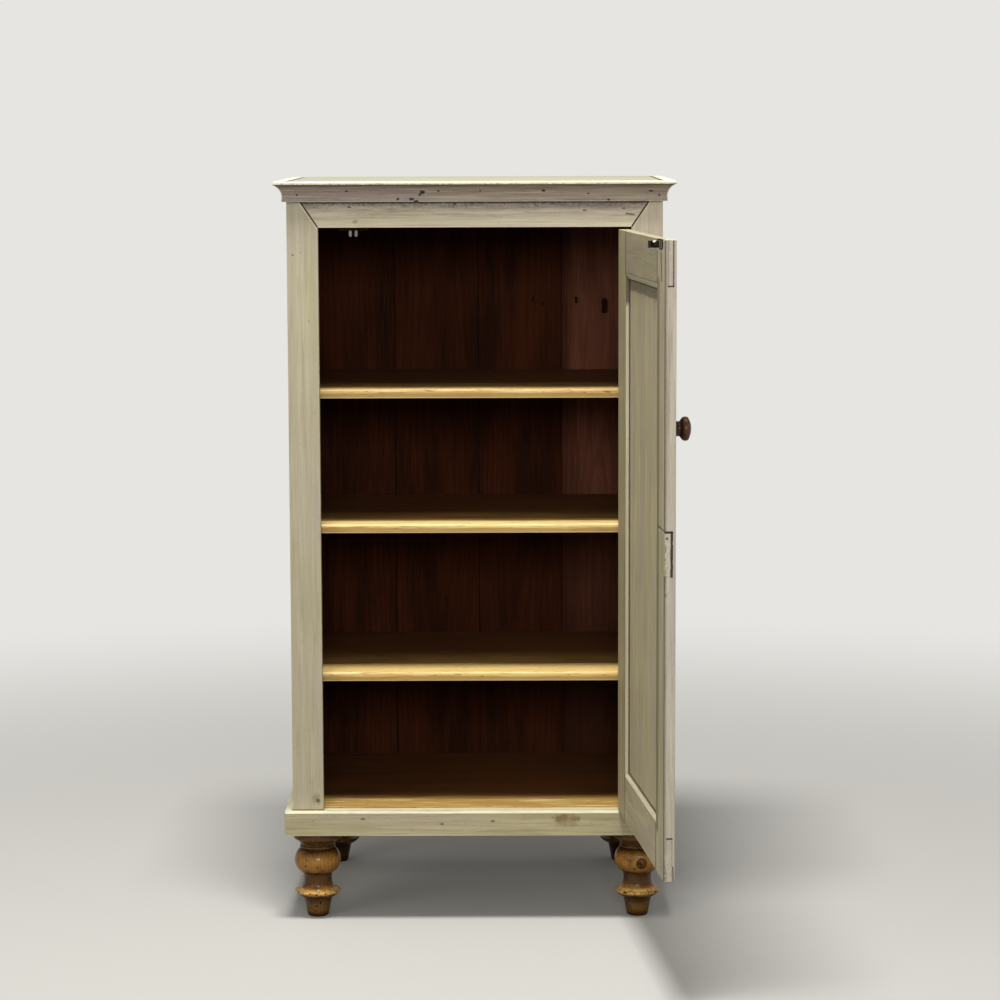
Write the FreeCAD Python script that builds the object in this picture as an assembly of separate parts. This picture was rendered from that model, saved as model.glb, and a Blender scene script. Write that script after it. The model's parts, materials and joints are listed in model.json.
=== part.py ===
import FreeCAD, Part
import math
import os

os.makedirs("parts", exist_ok=True)

V = FreeCAD.Vector

# ---------------------------------------------------------------------------
# Driving dimensions, in millimetres.
# X runs to the right, Y to the back, Z up; Y = 0 is the front of the face frame
# and Z = 0 is the floor. The door is drawn shut and swung open at the end.
# ---------------------------------------------------------------------------

# Whole cabinet
BODY_W = 650.0            # width over the side boards
BODY_D = 503.0            # front of the face frame to the back of the back boards
BODY_H = 1147.5           # underside of the plinth to the top

# Softened edges
EASE = 0.7
WORN = 1.5

# Turned feet, listed from the floor up
PAD_R = 16.5
PAD_H = 2.0
CUP_LOW_R = 18.5
CUP_R = 25.0
CUP_H = 32.0
FLANGE_R = 40.5
FLANGE_UNDER_H = 10.5
FLANGE_EDGE_H = 2.5
FLANGE_OVER_H = 10.0
FLANGE_BULGE = 5.0        # how far in from the rim the curved underside is fullest
FLANGE_HOLLOW_IN = 2.5    # the hollow top's middle lies this far inside a straight cone
FLANGE_HOLLOW_DROP = 6.0  # and this far below the top's upper end
NECK_R = 24.6
NECK_FLARE = 1.4
NECK_H = 21.0
BALL_R = 41.0
BALL_H = 46.0
BALL_TOP_R = 29.5
RING_R = 31.5
RING_H = 5.0
COVE_BULGE = 3.5
COVE_H = 12.0
CAP_R = 42.5
CAP_CHAMFER = 1.0
CAP_H = 13.0
SPIGOT_R = 12.0
SPIGOT_L = 24.0
FOOT_FRONT_INSET_X = 40.5
FOOT_FRONT_INSET_Y = 39.0
FOOT_REAR_INSET_X = 54.0
FOOT_REAR_INSET_Y = 43.0
BEARER_D = 100.0

# Door
DOOR_T = 17.5
DOOR_STOP_GAP = 1.0       # shut door to the edge of the bottom board behind it
DOOR_HINGE_GAP = 1.5
DOOR_LOCK_GAP = 2.0
DOOR_TOP_GAP = 4.0
DOOR_BOTTOM_GAP = 2.0
DOOR_STILE_W = 88.0
DOOR_TOP_RAIL = 71.5
DOOR_BOTTOM_RAIL = 75.0
TENON_T = 8.0
TENON_SHORT = 0.4         # the tenons stop this far inside the stile edges
TENON_SHOULDER = 5.5      # the lower tenons stop this far below the top of their rail
PANEL_T = 6.0
PANEL_SETBACK = 4.5       # front of the door to the front of the panel's tongue
PANEL_TONGUE = 8.0
PANEL_PLAY = 1.0
FIELD_MARGIN = 40.0
FIELD_EDGE = 4.0
FIELD_RISE = 3.0
FIELD_STEP = 0.8
BEAD_W = 9.5
BEAD_TOP_W = 2.5
BEAD_SINK = 0.6           # bead face below the inner face of the door
BEAD_LOW_T = 2.0
DOOR_OPEN_DEG = 95.8      # how far the door stands open at rest

# Face frame
STILE_W = 54.0
HEAD_RAIL_H = 79.5
PLINTH_H = 43.0
FRAME_TENON_L = 25.0
FRAME_TENON_T = 7.0
FRAME_TENON_SHOULDER = 6.0

# Carcass boards
SIDE_T = 20.0
TOP_T = 18.0
BOTTOM_T = 18.0
BOTTOM_LIP = 3.0          # bottom board above the top of the bottom rail
HOUSING = 6.0             # depth of the groove that takes the bottom board

# Back boards, shiplapped
BACK_T = 12.0
BACK_REBATE = 10.0
BACK_LAP = 6.0
BACK_GAP = 0.8
BACK_COUNT = 4
BACK_RAISE = 2.0

# Shelves on cleats; the clear heights run from the bottom board upwards
SHELF_T = 16.0
SHELF_SETBACK = 25.0      # behind the face frame
SHELF_NOSE_R = 4.5
SHELF_PLAY = 0.4
CLEAR_HEIGHTS = {"lower": 220.5, "middle": 248.0, "upper": 222.0}
CLEAT = 20.0
CLEAT_SETBACK = 6.0
CLEAT_SNIPE = 8.0

# Cornice
CORNICE_H = 35.0
CORNICE_FOOT_PROJ = 8.0
CORNICE_TOP_PROJ = 23.0
CORNICE_FOOT_H = 4.0
CORNICE_LIP_H = 5.5
CORNICE_LIP_PROJ = 1.5    # lip beyond the end of the hollow
CORNICE_LIP_DROP = 0.5
HOLLOW_OUT = 0.29         # where the hollow's middle lies between its two ends
HOLLOW_UP = 0.71

# Plinth
PLINTH_PROJ = 14.0
PLINTH_BEVEL = 3.0
PLINTH_CORNER_R = 4.0
PLINTH_LOWER_R = 6.0

# Old lock mortise, filled with a let-in piece
PATCH_W = 62.0
PATCH_T = 11.0
PATCH_RISE = 491.0        # above the bottom of the door
PATCH_H = 70.0
PATCH_GAP = 0.5

# Knob
KNOB_DROP = 298.5         # below the top of the door
KNOB_INSET = 44.0
KNOB_R = 19.3
KNOB_PROJ = 30.5
KNOB_DOME_H = 5.3
KNOB_RIM_H = 8.0
KNOB_RIM_ROUND = 1.0      # the rim's two ends lie this far inside its fullest place
KNOB_UNDER_H = 4.5
KNOB_UNDER_SAG = 0.4      # the rounded underside of the head below a straight cone
KNOB_ROSE_R = 15.2
KNOB_ROSE_T = 4.5
KNOB_NECK_R = 11.8
KNOB_NECK_RISE = 5.0      # narrowest place above the rose
KNOB_THROAT_R = 12.6      # where the neck spreads into the underside of the head
KNOB_SPIGOT_R = 5.0
KNOB_SPIGOT_L = 13.0

# Butt hinges
HINGE_FROM_BOTTOM = 188.5
HINGE_FROM_TOP = 192.0
HINGE_H = 70.0
LEAF_T = 1.5
LEAF_D = 17.0
LEAF_GAP = 0.2            # between the two shut leaves
KNUCKLE_R = 4.0
KNUCKLE_COUNT = 5
KNUCKLE_GAP = 0.2
KNUCKLE_CLEAR = 0.3       # leaf plates behind the other leaf's knuckles
KNUCKLE_PROUD = 0.6       # knuckles in front of the door's face
PIN_R = 2.0
PIN_PLAY = 0.06           # radial running clearance of the turning knuckles
PIN_TIP = 2.0
PIN_CHAMFER = 1.0
SCREW_PITCH = 24.0
SCREW_R = 1.75
SCREW_HEAD_R = 3.4
SCREW_HEAD_H = 1.9
HINGE_SCREW_L = 18.0
SLOT_W = 0.9
SLOT_D = 0.7

# Double roller catch
CATCH_INSET = 60.0        # from the lock side of the opening
CATCH_SETBACK = 9.5       # rollers behind the face frame
CATCH_BLOCK_W = 70.0
CATCH_BLOCK_D = 40.0
CATCH_BLOCK_H = 25.0
CHANNEL_L = 48.0
CHANNEL_W = 14.0
CHANNEL_H = 5.2
CHANNEL_T = 1.0
CHANNEL_SLOT = 7.0
SLIDER_L = 8.0
SLIDER_W = 11.6
SLIDER_PLAY = 0.2
STOP_W = 1.8
ROLLER_PITCH = 10.0
ROLLER_R = 2.9
ROLLER_H = 9.8
ROLLER_DROP = 0.5         # below the channel
ROLLER_EASE = 0.6
AXLE_R = 1.2
AXLE_PLAY = 0.05
AXLE_END_PLAY = 0.2
AXLE_HEAD_R = 1.9
AXLE_HEAD_H = 0.8
CATCH_SCREW_X = 19.5
CATCH_SCREW_L = 14.0
STRIKE_H = 12.0
STRIKE_T = 1.0
STRIKE_CLEAR = 0.8        # below the channel
STRIKE_FLANGE = 14.0
STRIKE_NECK_T = 1.8
STRIKE_HEAD_T = 3.2
STRIKE_BEHIND = 0.2       # back of the spear's head to the rollers
STRIKE_SHOULDER = 1.8
STRIKE_POINT = 4.0
STRIKE_TIP_T = 1.0
STRIKE_SCREW_X = 9.5
STRIKE_SCREW_L = 12.0

# ---------------------------------------------------------------------------
# Sizes and levels that follow from the values above
# ---------------------------------------------------------------------------
FOOT_H = (PAD_H + CUP_H + FLANGE_UNDER_H + FLANGE_EDGE_H + FLANGE_OVER_H + NECK_H
          + BALL_H + RING_H + COVE_H + CAP_CHAMFER + CAP_H)
TOP_Z = FOOT_H + BODY_H
HALF_W = BODY_W / 2
INNER_HALF = HALF_W - SIDE_T
OPENING_HALF = HALF_W - STILE_W
FRAME_T = DOOR_T + DOOR_STOP_GAP
OPENING_TOP_Z = TOP_Z - HEAD_RAIL_H
SILL_Z = FOOT_H + PLINTH_H
BOTTOM_TOP_Z = SILL_Z + BOTTOM_LIP
BACK_Y = BODY_D - BACK_T
CORNICE_Z = TOP_Z - CORNICE_H

DOOR_X0 = -OPENING_HALF + DOOR_LOCK_GAP
DOOR_X1 = OPENING_HALF - DOOR_HINGE_GAP
DOOR_Z0 = SILL_Z + DOOR_BOTTOM_GAP
DOOR_Z1 = OPENING_TOP_Z - DOOR_TOP_GAP
SIGHT_X0 = DOOR_X0 + DOOR_STILE_W
SIGHT_X1 = DOOR_X1 - DOOR_STILE_W
SIGHT_Z0 = DOOR_Z0 + DOOR_BOTTOM_RAIL
SIGHT_Z1 = DOOR_Z1 - DOOR_TOP_RAIL
LOWER_TENON_Z1 = SIGHT_Z0 - TENON_SHOULDER
TENON_Y = (DOOR_T - TENON_T) / 2
PANEL_BACK_Y = PANEL_SETBACK + PANEL_T
KNOB_X = DOOR_X0 + KNOB_INSET
KNOB_Z = DOOR_Z1 - KNOB_DROP

HINGE_X = OPENING_HALF - DOOR_HINGE_GAP / 2
HINGE_Y = -KNUCKLE_R - KNUCKLE_PROUD
HINGE_LEVELS = {"lower": DOOR_Z0 + HINGE_FROM_BOTTOM, "upper": DOOR_Z1 - HINGE_FROM_TOP}
FRAME_LEAF_X = HINGE_X + LEAF_GAP / 2
DOOR_LEAF_X = HINGE_X - LEAF_GAP / 2

CATCH_X = -OPENING_HALF + CATCH_INSET
CATCH_Y = FRAME_T + CATCH_SETBACK
CHANNEL_LOW_Z = OPENING_TOP_Z - CHANNEL_H
SLIDER_TOP_Z = OPENING_TOP_Z - CHANNEL_T - SLIDER_PLAY
SLIDER_LOW_Z = CHANNEL_LOW_Z + CHANNEL_T + SLIDER_PLAY
ROLLER_TOP_Z = CHANNEL_LOW_Z - ROLLER_DROP
ROLLER_LOW_Z = ROLLER_TOP_Z - ROLLER_H
STRIKE_Z = CHANNEL_LOW_Z - STRIKE_CLEAR - STRIKE_H / 2


# ---------------------------------------------------------------------------
# Small building blocks
# ---------------------------------------------------------------------------
def box(x0, x1, y0, y1, z0, z1):
    return Part.makeBox(x1 - x0, y1 - y0, z1 - z0, V(x0, y0, z0))


def outline(points):
    corners = [V(*p) for p in points]
    return Part.Face(Part.makePolygon(corners + corners[:1]))


def prism(points, along):
    """A polygon of 3-D points, pushed along a vector."""
    return outline(points).extrude(V(*along))


def rod(x, y, z, r, length, axis=(0, 0, 1)):
    return Part.makeCylinder(r, length, V(x, y, z), V(*axis))


def near(a, b, tol=0.01):
    return abs(a - b) < tol


def soften(shape, size, wanted, rounded=False):
    """Chamfer, or round, the edges whose centre passes a test."""
    edges = [e for e in shape.Edges if wanted(e.CenterOfMass)]
    if rounded:
        return shape.makeFillet(size, edges)
    return shape.makeChamfer(size, edges)


def mirror_x(shape):
    return shape.mirror(V(0, 0, 0), V(1, 0, 0))


class Lathe:
    """Half profile in (radius, height), drawn upwards and turned about Z."""

    def __init__(self, r, z):
        self.at = V(r, 0, z)
        self.edges = []

    def line(self, r, z):
        end = V(r, 0, z)
        self.edges.append(Part.makeLine(self.at, end))
        self.at = end

    def arc(self, via_r, via_z, r, z):
        end = V(r, 0, z)
        self.edges.append(Part.Arc(self.at, V(via_r, 0, via_z), end).toShape())
        self.at = end

    def dome(self, height):
        """Spherical cap from here to the axis."""
        r = self.at.x
        sphere = (r * r + height * height) / (2 * height)
        half_angle = math.asin(r / sphere) / 2
        top = self.at.z + height
        via_z = top - sphere * (1 - math.cos(half_angle))
        self.arc(sphere * math.sin(half_angle), via_z, 0, top)

    def turn(self):
        start = self.edges[0].firstVertex().Point
        if self.at.distanceToPoint(start) > 1e-6:
            self.edges.append(Part.makeLine(self.at, start))
        face = Part.Face(Part.Wire(self.edges))
        return face.revolve(V(0, 0, 0), V(0, 0, 1), 360)


# ---------------------------------------------------------------------------
# Carcass boards
# ---------------------------------------------------------------------------
def side_board():
    board = box(INNER_HALF, HALF_W, FRAME_T, BODY_D, FOOT_H, TOP_Z - TOP_T)
    rebate = box(INNER_HALF, INNER_HALF + BACK_REBATE, BACK_Y, BODY_D, FOOT_H, TOP_Z)
    housing = box(INNER_HALF, INNER_HALF + HOUSING, FRAME_T, BACK_Y,
                  BOTTOM_TOP_Z - BOTTOM_T, BOTTOM_TOP_Z)
    return board.cut(rebate).cut(housing)


def top_board():
    return box(-HALF_W, HALF_W, FRAME_T, BODY_D, TOP_Z - TOP_T, TOP_Z)


def bottom_board():
    half = INNER_HALF + HOUSING
    board = box(-half, half, FRAME_T, BACK_Y, BOTTOM_TOP_Z - BOTTOM_T, BOTTOM_TOP_Z)
    return soften(board, EASE, lambda c: near(c.y, FRAME_T) and near(c.z, BOTTOM_TOP_Z))


def back_board(index):
    """One shiplapped board: its inner half and outer half step past each other."""
    half = INNER_HALF + BACK_REBATE
    width = 2 * half / BACK_COUNT
    left = -half + index * width
    right = left + width
    mid_y = BACK_Y + BACK_T / 2
    inner_left = left + BACK_GAP / 2 if index > 0 else left
    outer_left = inner_left + BACK_LAP if index > 0 else left
    inner_right = right - BACK_GAP / 2 if index < BACK_COUNT - 1 else right
    outer_right = inner_right + BACK_LAP if index < BACK_COUNT - 1 else right
    z0 = FOOT_H + BACK_RAISE
    z1 = TOP_Z - TOP_T
    inner_half = box(inner_left, inner_right, BACK_Y, mid_y, z0, z1)
    outer_half = box(outer_left, outer_right, mid_y, BODY_D, z0, z1)
    return inner_half.fuse(outer_half).removeSplitter()


def shelf_undersides():
    """Height of each shelf's underside, stacked up from the bottom board."""
    levels = {}
    z = BOTTOM_TOP_Z
    for level, clear in CLEAR_HEIGHTS.items():
        levels[level] = z + clear
        z += clear + SHELF_T
    return levels


def shelf(z):
    half = INNER_HALF - SHELF_PLAY
    front = FRAME_T + SHELF_SETBACK
    board = box(-half, half, front, BACK_Y - SHELF_PLAY, z, z + SHELF_T)
    board = soften(board, SHELF_NOSE_R, lambda c: near(c.y, front) and near(c.z, z + SHELF_T), True)
    return soften(board, EASE, lambda c: near(c.y, front) and near(c.z, z))


def cleat(z):
    front = FRAME_T + SHELF_SETBACK + CLEAT_SETBACK
    strip = box(INNER_HALF - CLEAT, INNER_HALF, front, BACK_Y - CLEAT_SETBACK, z - CLEAT, z)
    return soften(strip, CLEAT_SNIPE, lambda c: near(c.y, front) and near(c.z, z - CLEAT))


# ---------------------------------------------------------------------------
# Face frame: the corners are mitred in front and half-lapped behind, and the
# bottom rail is tenoned between the stiles behind the plinth.
# ---------------------------------------------------------------------------
def frame_tenon(x0, x1):
    y0 = (FRAME_T - FRAME_TENON_T) / 2
    return box(x0, x1, y0, y0 + FRAME_TENON_T, FOOT_H + FRAME_TENON_SHOULDER,
               SILL_Z - FRAME_TENON_SHOULDER)


def frame_stile():
    front = prism([(OPENING_HALF, 0, FOOT_H), (HALF_W, 0, FOOT_H), (HALF_W, 0, TOP_Z),
                   (OPENING_HALF, 0, OPENING_TOP_Z)], (0, FRAME_T / 2, 0))
    front = soften(front, EASE, lambda c: near(c.y, 0) and not near(c.z, FOOT_H))
    back = box(OPENING_HALF, HALF_W, FRAME_T / 2, FRAME_T, FOOT_H, OPENING_TOP_Z)
    stile = front.fuse(back).removeSplitter()
    return stile.cut(frame_tenon(OPENING_HALF, OPENING_HALF + FRAME_TENON_L))


def head_rail():
    front = prism([(-OPENING_HALF, 0, OPENING_TOP_Z), (OPENING_HALF, 0, OPENING_TOP_Z),
                   (HALF_W, 0, TOP_Z), (-HALF_W, 0, TOP_Z)], (0, FRAME_T / 2, 0))
    front = soften(front, EASE, lambda c: near(c.y, 0) and not near(c.z, TOP_Z))
    back = box(-HALF_W, HALF_W, FRAME_T / 2, FRAME_T, OPENING_TOP_Z, TOP_Z)
    return front.fuse(back).removeSplitter()


def bottom_rail():
    rail = box(-OPENING_HALF, OPENING_HALF, 0, FRAME_T, FOOT_H, SILL_Z)
    reach = OPENING_HALF + FRAME_TENON_L
    return rail.fuse(frame_tenon(-reach, reach)).removeSplitter()


# ---------------------------------------------------------------------------
# Mouldings round the front and both sides, mitred at the front corners
# ---------------------------------------------------------------------------
def moulding_front(section, proj):
    """section(place) draws the closed profile; place maps (projection, z) to 3-D."""
    face = section(lambda p, z: V(-HALF_W - proj, -p, z))
    strip = face.extrude(V(2 * (HALF_W + proj), 0, 0))
    wedge = prism([(-HALF_W, 0, 0), (HALF_W, 0, 0), (HALF_W + proj, -proj, 0),
                   (-HALF_W - proj, -proj, 0)], (0, 0, TOP_Z))
    return strip.common(wedge)


def moulding_return(section, proj):
    face = section(lambda p, z: V(HALF_W + p, -proj, z))
    strip = face.extrude(V(0, BODY_D + proj, 0))
    wedge = prism([(HALF_W, 0, 0), (HALF_W, BODY_D, 0), (HALF_W + proj, BODY_D, 0),
                   (HALF_W + proj, -proj, 0)], (0, 0, TOP_Z))
    return strip.common(wedge)


def cornice_section(place):
    """Small upright foot, a hollow, and a thin lip with its top edge rubbed down."""
    foot_top = CORNICE_Z + CORNICE_FOOT_H
    lip_z = TOP_Z - CORNICE_LIP_H
    hollow_end = CORNICE_TOP_PROJ - CORNICE_LIP_PROJ
    via_p = CORNICE_FOOT_PROJ + (hollow_end - CORNICE_FOOT_PROJ) * HOLLOW_OUT
    via_z = foot_top + (lip_z - foot_top) * HOLLOW_UP
    hollow = Part.Arc(place(CORNICE_FOOT_PROJ, foot_top), place(via_p, via_z),
                      place(hollow_end, lip_z)).toShape()
    corners = [place(hollow_end, lip_z), place(CORNICE_TOP_PROJ, lip_z + CORNICE_LIP_DROP),
               place(CORNICE_TOP_PROJ, TOP_Z - WORN), place(CORNICE_TOP_PROJ - WORN, TOP_Z),
               place(0, TOP_Z), place(0, CORNICE_Z), place(CORNICE_FOOT_PROJ, CORNICE_Z),
               place(CORNICE_FOOT_PROJ, foot_top)]
    return Part.Face(Part.Wire([hollow] + Part.makePolygon(corners).Edges))


def plinth_section(place):
    return Part.Face(Part.makePolygon([
        place(0, FOOT_H), place(PLINTH_PROJ, FOOT_H), place(PLINTH_PROJ, SILL_Z - PLINTH_BEVEL),
        place(0, SILL_Z), place(0, FOOT_H)]))


def plinth_envelope():
    """Rounds the plinth's upright corners, and its lower corners seen from the front."""
    half = HALF_W + PLINTH_PROJ
    plan = box(-half, half, -PLINTH_PROJ, BODY_D, FOOT_H, SILL_Z)
    plan = soften(plan, PLINTH_CORNER_R,
                  lambda c: near(c.y, -PLINTH_PROJ) and near(abs(c.x), half), True)
    front = box(-half, half, -PLINTH_PROJ, BODY_D, FOOT_H, SILL_Z)
    front = soften(front, PLINTH_LOWER_R,
                   lambda c: near(abs(c.x), half) and near(c.z, FOOT_H), True)
    return plan.common(front)


# ---------------------------------------------------------------------------
# Turned feet and the bearers they are pegged into
# ---------------------------------------------------------------------------
def foot(x, y):
    profile = Lathe(0, 0)
    profile.line(PAD_R, 0)
    profile.line(CUP_LOW_R, PAD_H)
    z = PAD_H + CUP_H
    profile.line(CUP_R, z)
    # flange: curved underside, thin edge, hollow top
    z += FLANGE_UNDER_H
    profile.arc(FLANGE_R - FLANGE_BULGE, z - FLANGE_UNDER_H / 2, FLANGE_R, z)
    z += FLANGE_EDGE_H
    profile.line(FLANGE_R, z)
    z += FLANGE_OVER_H
    hollow_r = (FLANGE_R + NECK_R) / 2 - FLANGE_HOLLOW_IN
    profile.arc(hollow_r, z - FLANGE_HOLLOW_DROP, NECK_R + NECK_FLARE, z)
    # neck, ball and ring
    profile.arc(NECK_R, z + NECK_H / 2, NECK_R + NECK_FLARE, z + NECK_H)
    z += NECK_H
    profile.arc(BALL_R, z + BALL_H / 2, BALL_TOP_R, z + BALL_H)
    z += BALL_H
    profile.arc(RING_R, z + RING_H / 2, BALL_TOP_R, z + RING_H)
    z += RING_H
    # cove spreading out to the cap under the plinth, then the spigot
    profile.arc(BALL_TOP_R + COVE_BULGE, z + COVE_H / 2, CAP_R - CAP_CHAMFER, z + COVE_H)
    profile.line(CAP_R, z + COVE_H + CAP_CHAMFER)
    profile.line(CAP_R, FOOT_H)
    profile.line(SPIGOT_R, FOOT_H)
    profile.line(SPIGOT_R, FOOT_H + SPIGOT_L)
    profile.line(0, FOOT_H + SPIGOT_L)
    shape = profile.turn()
    shape.translate(V(x, y, 0))
    return shape


def bearer(y0, foot_x, foot_y):
    block = box(-INNER_HALF, INNER_HALF, y0, y0 + BEARER_D, FOOT_H, BOTTOM_TOP_Z - BOTTOM_T)
    for x in (-foot_x, foot_x):
        block = block.cut(rod(x, foot_y, FOOT_H, SPIGOT_R, SPIGOT_L))
    return block


# ---------------------------------------------------------------------------
# Door, drawn shut: bridle-jointed frame round a fielded panel, with mitred
# beads planted round the panel on the inside
# ---------------------------------------------------------------------------
def panel_space(reach):
    return box(SIGHT_X0 - reach, SIGHT_X1 + reach, PANEL_SETBACK, PANEL_BACK_Y,
               SIGHT_Z0 - reach, SIGHT_Z1 + reach)


def tenon(z0, z1, short):
    return box(DOOR_X0 + short, DOOR_X1 - short, TENON_Y, TENON_Y + TENON_T, z0, z1)


def door_stile(x0, x1):
    middle = (DOOR_Z0 + DOOR_Z1) / 2
    stile = box(x0, x1, 0, DOOR_T, DOOR_Z0, DOOR_Z1)
    stile = soften(stile, EASE, lambda c: near(c.z, middle))
    stile = stile.cut(tenon(DOOR_Z0, LOWER_TENON_Z1, 0)).cut(tenon(SIGHT_Z1, DOOR_Z1, 0))
    return stile.cut(panel_space(PANEL_TONGUE + PANEL_PLAY))


def door_rail(z0, z1, tenon_z1):
    rail = box(SIGHT_X0, SIGHT_X1, 0, DOOR_T, z0, z1).fuse(tenon(z0, tenon_z1, TENON_SHORT))
    return rail.removeSplitter().cut(panel_space(PANEL_TONGUE + PANEL_PLAY))


def sight_ring(margin, y):
    corners = [(SIGHT_X0 + margin, y, SIGHT_Z0 + margin), (SIGHT_X1 - margin, y, SIGHT_Z0 + margin),
               (SIGHT_X1 - margin, y, SIGHT_Z1 - margin), (SIGHT_X0 + margin, y, SIGHT_Z1 - margin)]
    points = [V(*c) for c in corners]
    return Part.makePolygon(points + points[:1])


def panel():
    """Flat towards the inside, with a bevelled and fielded front."""
    field_y = PANEL_SETBACK - FIELD_RISE
    bevel = Part.makeLoft([sight_ring(FIELD_EDGE, PANEL_SETBACK), sight_ring(FIELD_MARGIN, field_y)],
                          True, True)
    field = Part.Face(sight_ring(FIELD_MARGIN, field_y)).extrude(V(0, -FIELD_STEP, 0))
    return panel_space(PANEL_TONGUE).fuse([bevel, field]).removeSplitter()


def bead_section(place):
    face_y = DOOR_T - BEAD_SINK
    return Part.Face(Part.makePolygon([
        place(0, PANEL_BACK_Y), place(0, face_y), place(BEAD_TOP_W, face_y),
        place(BEAD_W, PANEL_BACK_Y + BEAD_LOW_T), place(BEAD_W, PANEL_BACK_Y),
        place(0, PANEL_BACK_Y)]))


def door_bead(start, end, inward):
    """Mitred strip from one sight corner to the next; all three are (x, z) pairs."""
    run = V(end[0] - start[0], 0, end[1] - start[1])
    inner = V(inward[0], 0, inward[1])
    along = V(run).normalize()
    base = V(start[0], 0, start[1])
    strip = bead_section(lambda w, y: base + inner * w + V(0, y, 0)).extrude(run)
    p0 = base + V(0, PANEL_BACK_Y, 0)
    p1 = p0 + run
    corners = [p0, p1, p1 + (inner - along) * BEAD_W, p0 + (inner + along) * BEAD_W]
    return strip.common(prism([tuple(p) for p in corners], (0, DOOR_T, 0)))


def door_beads():
    x0, x1, z0, z1 = SIGHT_X0, SIGHT_X1, SIGHT_Z0, SIGHT_Z1
    return {
        "bottom": door_bead((x0, z0), (x1, z0), (0, 1)),
        "top": door_bead((x0, z1), (x1, z1), (0, -1)),
        "lock": door_bead((x0, z0), (x0, z1), (1, 0)),
        "hinge": door_bead((x1, z0), (x1, z1), (-1, 0)),
    }


def lock_patch(gap):
    z0 = DOOR_Z0 + PATCH_RISE
    return box(DOOR_X0, DOOR_X0 + PATCH_W, DOOR_T - PATCH_T, DOOR_T, z0 - gap, z0 + PATCH_H + gap)


def knob():
    """Turned bun-shaped knob, drawn upright and laid over to point forwards."""
    profile = Lathe(0, -KNOB_SPIGOT_L)
    profile.line(KNOB_SPIGOT_R, -KNOB_SPIGOT_L)
    profile.line(KNOB_SPIGOT_R, 0)
    profile.line(KNOB_ROSE_R, 0)
    profile.line(KNOB_ROSE_R, KNOB_ROSE_T)
    rim_r = KNOB_R - KNOB_RIM_ROUND
    face_z = KNOB_PROJ - KNOB_DOME_H
    rim_z = face_z - KNOB_RIM_H
    under_z = rim_z - KNOB_UNDER_H
    # neck, underside of the head, full rounded rim and domed face
    profile.arc(KNOB_NECK_R, KNOB_ROSE_T + KNOB_NECK_RISE, KNOB_THROAT_R, under_z)
    profile.arc((KNOB_THROAT_R + rim_r) / 2, under_z + KNOB_UNDER_H / 2 - KNOB_UNDER_SAG, rim_r,
                rim_z)
    profile.arc(KNOB_R, rim_z + KNOB_RIM_H / 2, rim_r, face_z)
    profile.dome(KNOB_DOME_H)
    shape = profile.turn()
    shape.rotate(V(0, 0, 0), V(1, 0, 0), 90)
    shape.translate(V(KNOB_X, 0, KNOB_Z))
    return shape


def knob_hole():
    return rod(KNOB_X, 0, KNOB_Z, KNOB_SPIGOT_R, KNOB_SPIGOT_L, (0, 1, 0))


# ---------------------------------------------------------------------------
# Butt hinges
# ---------------------------------------------------------------------------
def knuckle_spans(z, first):
    """Heights of every second knuckle, counted from the first or the second one."""
    step = HINGE_H / KNUCKLE_COUNT
    low = z - HINGE_H / 2
    spans = []
    for i in range(first, KNUCKLE_COUNT, 2):
        below = KNUCKLE_GAP / 2 if i > 0 else 0
        above = KNUCKLE_GAP / 2 if i < KNUCKLE_COUNT - 1 else 0
        spans.append((low + i * step + below, low + (i + 1) * step - above))
    return spans


def hinge_leaf(z, x0, first, bore_r):
    """Plate let into the wood, reaching forward to its own knuckles only."""
    x1 = x0 + LEAF_T
    plate_y = HINGE_Y + KNUCKLE_R + KNUCKLE_CLEAR
    leaf = box(x0, x1, plate_y, LEAF_D, z - HINGE_H / 2, z + HINGE_H / 2)
    for z0, z1 in knuckle_spans(z, first):
        neck = box(x0, x1, HINGE_Y, plate_y, z0, z1)
        leaf = leaf.fuse([neck, rod(HINGE_X, HINGE_Y, z0, KNUCKLE_R, z1 - z0)])
    return leaf.removeSplitter().cut(rod(HINGE_X, HINGE_Y, z - HINGE_H, bore_r, 2 * HINGE_H))


def hinge_pin(z):
    length = HINGE_H + 2 * PIN_TIP
    pin = rod(HINGE_X, HINGE_Y, z - length / 2, PIN_R, length)
    return soften(pin, PIN_CHAMFER, lambda c: near(abs(c.z - z), length / 2))


def leaf_recess(z, x0, x1):
    return box(x0, x1, 0, LEAF_D, z - HINGE_H / 2, z + HINGE_H / 2)


def aim(shape, place, direction):
    """Turn a shape drawn along +Z to a direction and carry it to its place."""
    shape.Placement = FreeCAD.Placement(V(*place), FreeCAD.Rotation(V(0, 0, 1), V(*direction)))
    return shape


def screw(length):
    """Countersunk screw drawn upwards, with its flat head at the origin."""
    head = Part.makeCone(SCREW_HEAD_R, SCREW_R, SCREW_HEAD_H)
    return head.fuse(rod(0, 0, 0, SCREW_R, length)).removeSplitter()


def driver_slot():
    half = SCREW_HEAD_R + EASE
    return box(-half, half, -SLOT_W / 2, SLOT_W / 2, 0, SLOT_D)


def hinge_screw_places(x):
    y = LEAF_D / 2
    return [(x, y, z + k * SCREW_PITCH) for z in HINGE_LEVELS.values() for k in (-1, 0, 1)]


# ---------------------------------------------------------------------------
# Double roller catch under a block behind the head rail, and its spear strike
# ---------------------------------------------------------------------------
def catch_block():
    half = CATCH_BLOCK_W / 2
    return box(CATCH_X - half, CATCH_X + half, FRAME_T, FRAME_T + CATCH_BLOCK_D, OPENING_TOP_Z,
               OPENING_TOP_Z + CATCH_BLOCK_H)


def around_catch(half_x, half_y, z0, z1):
    return box(CATCH_X - half_x, CATCH_X + half_x, CATCH_Y - half_y, CATCH_Y + half_y, z0, z1)


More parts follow.
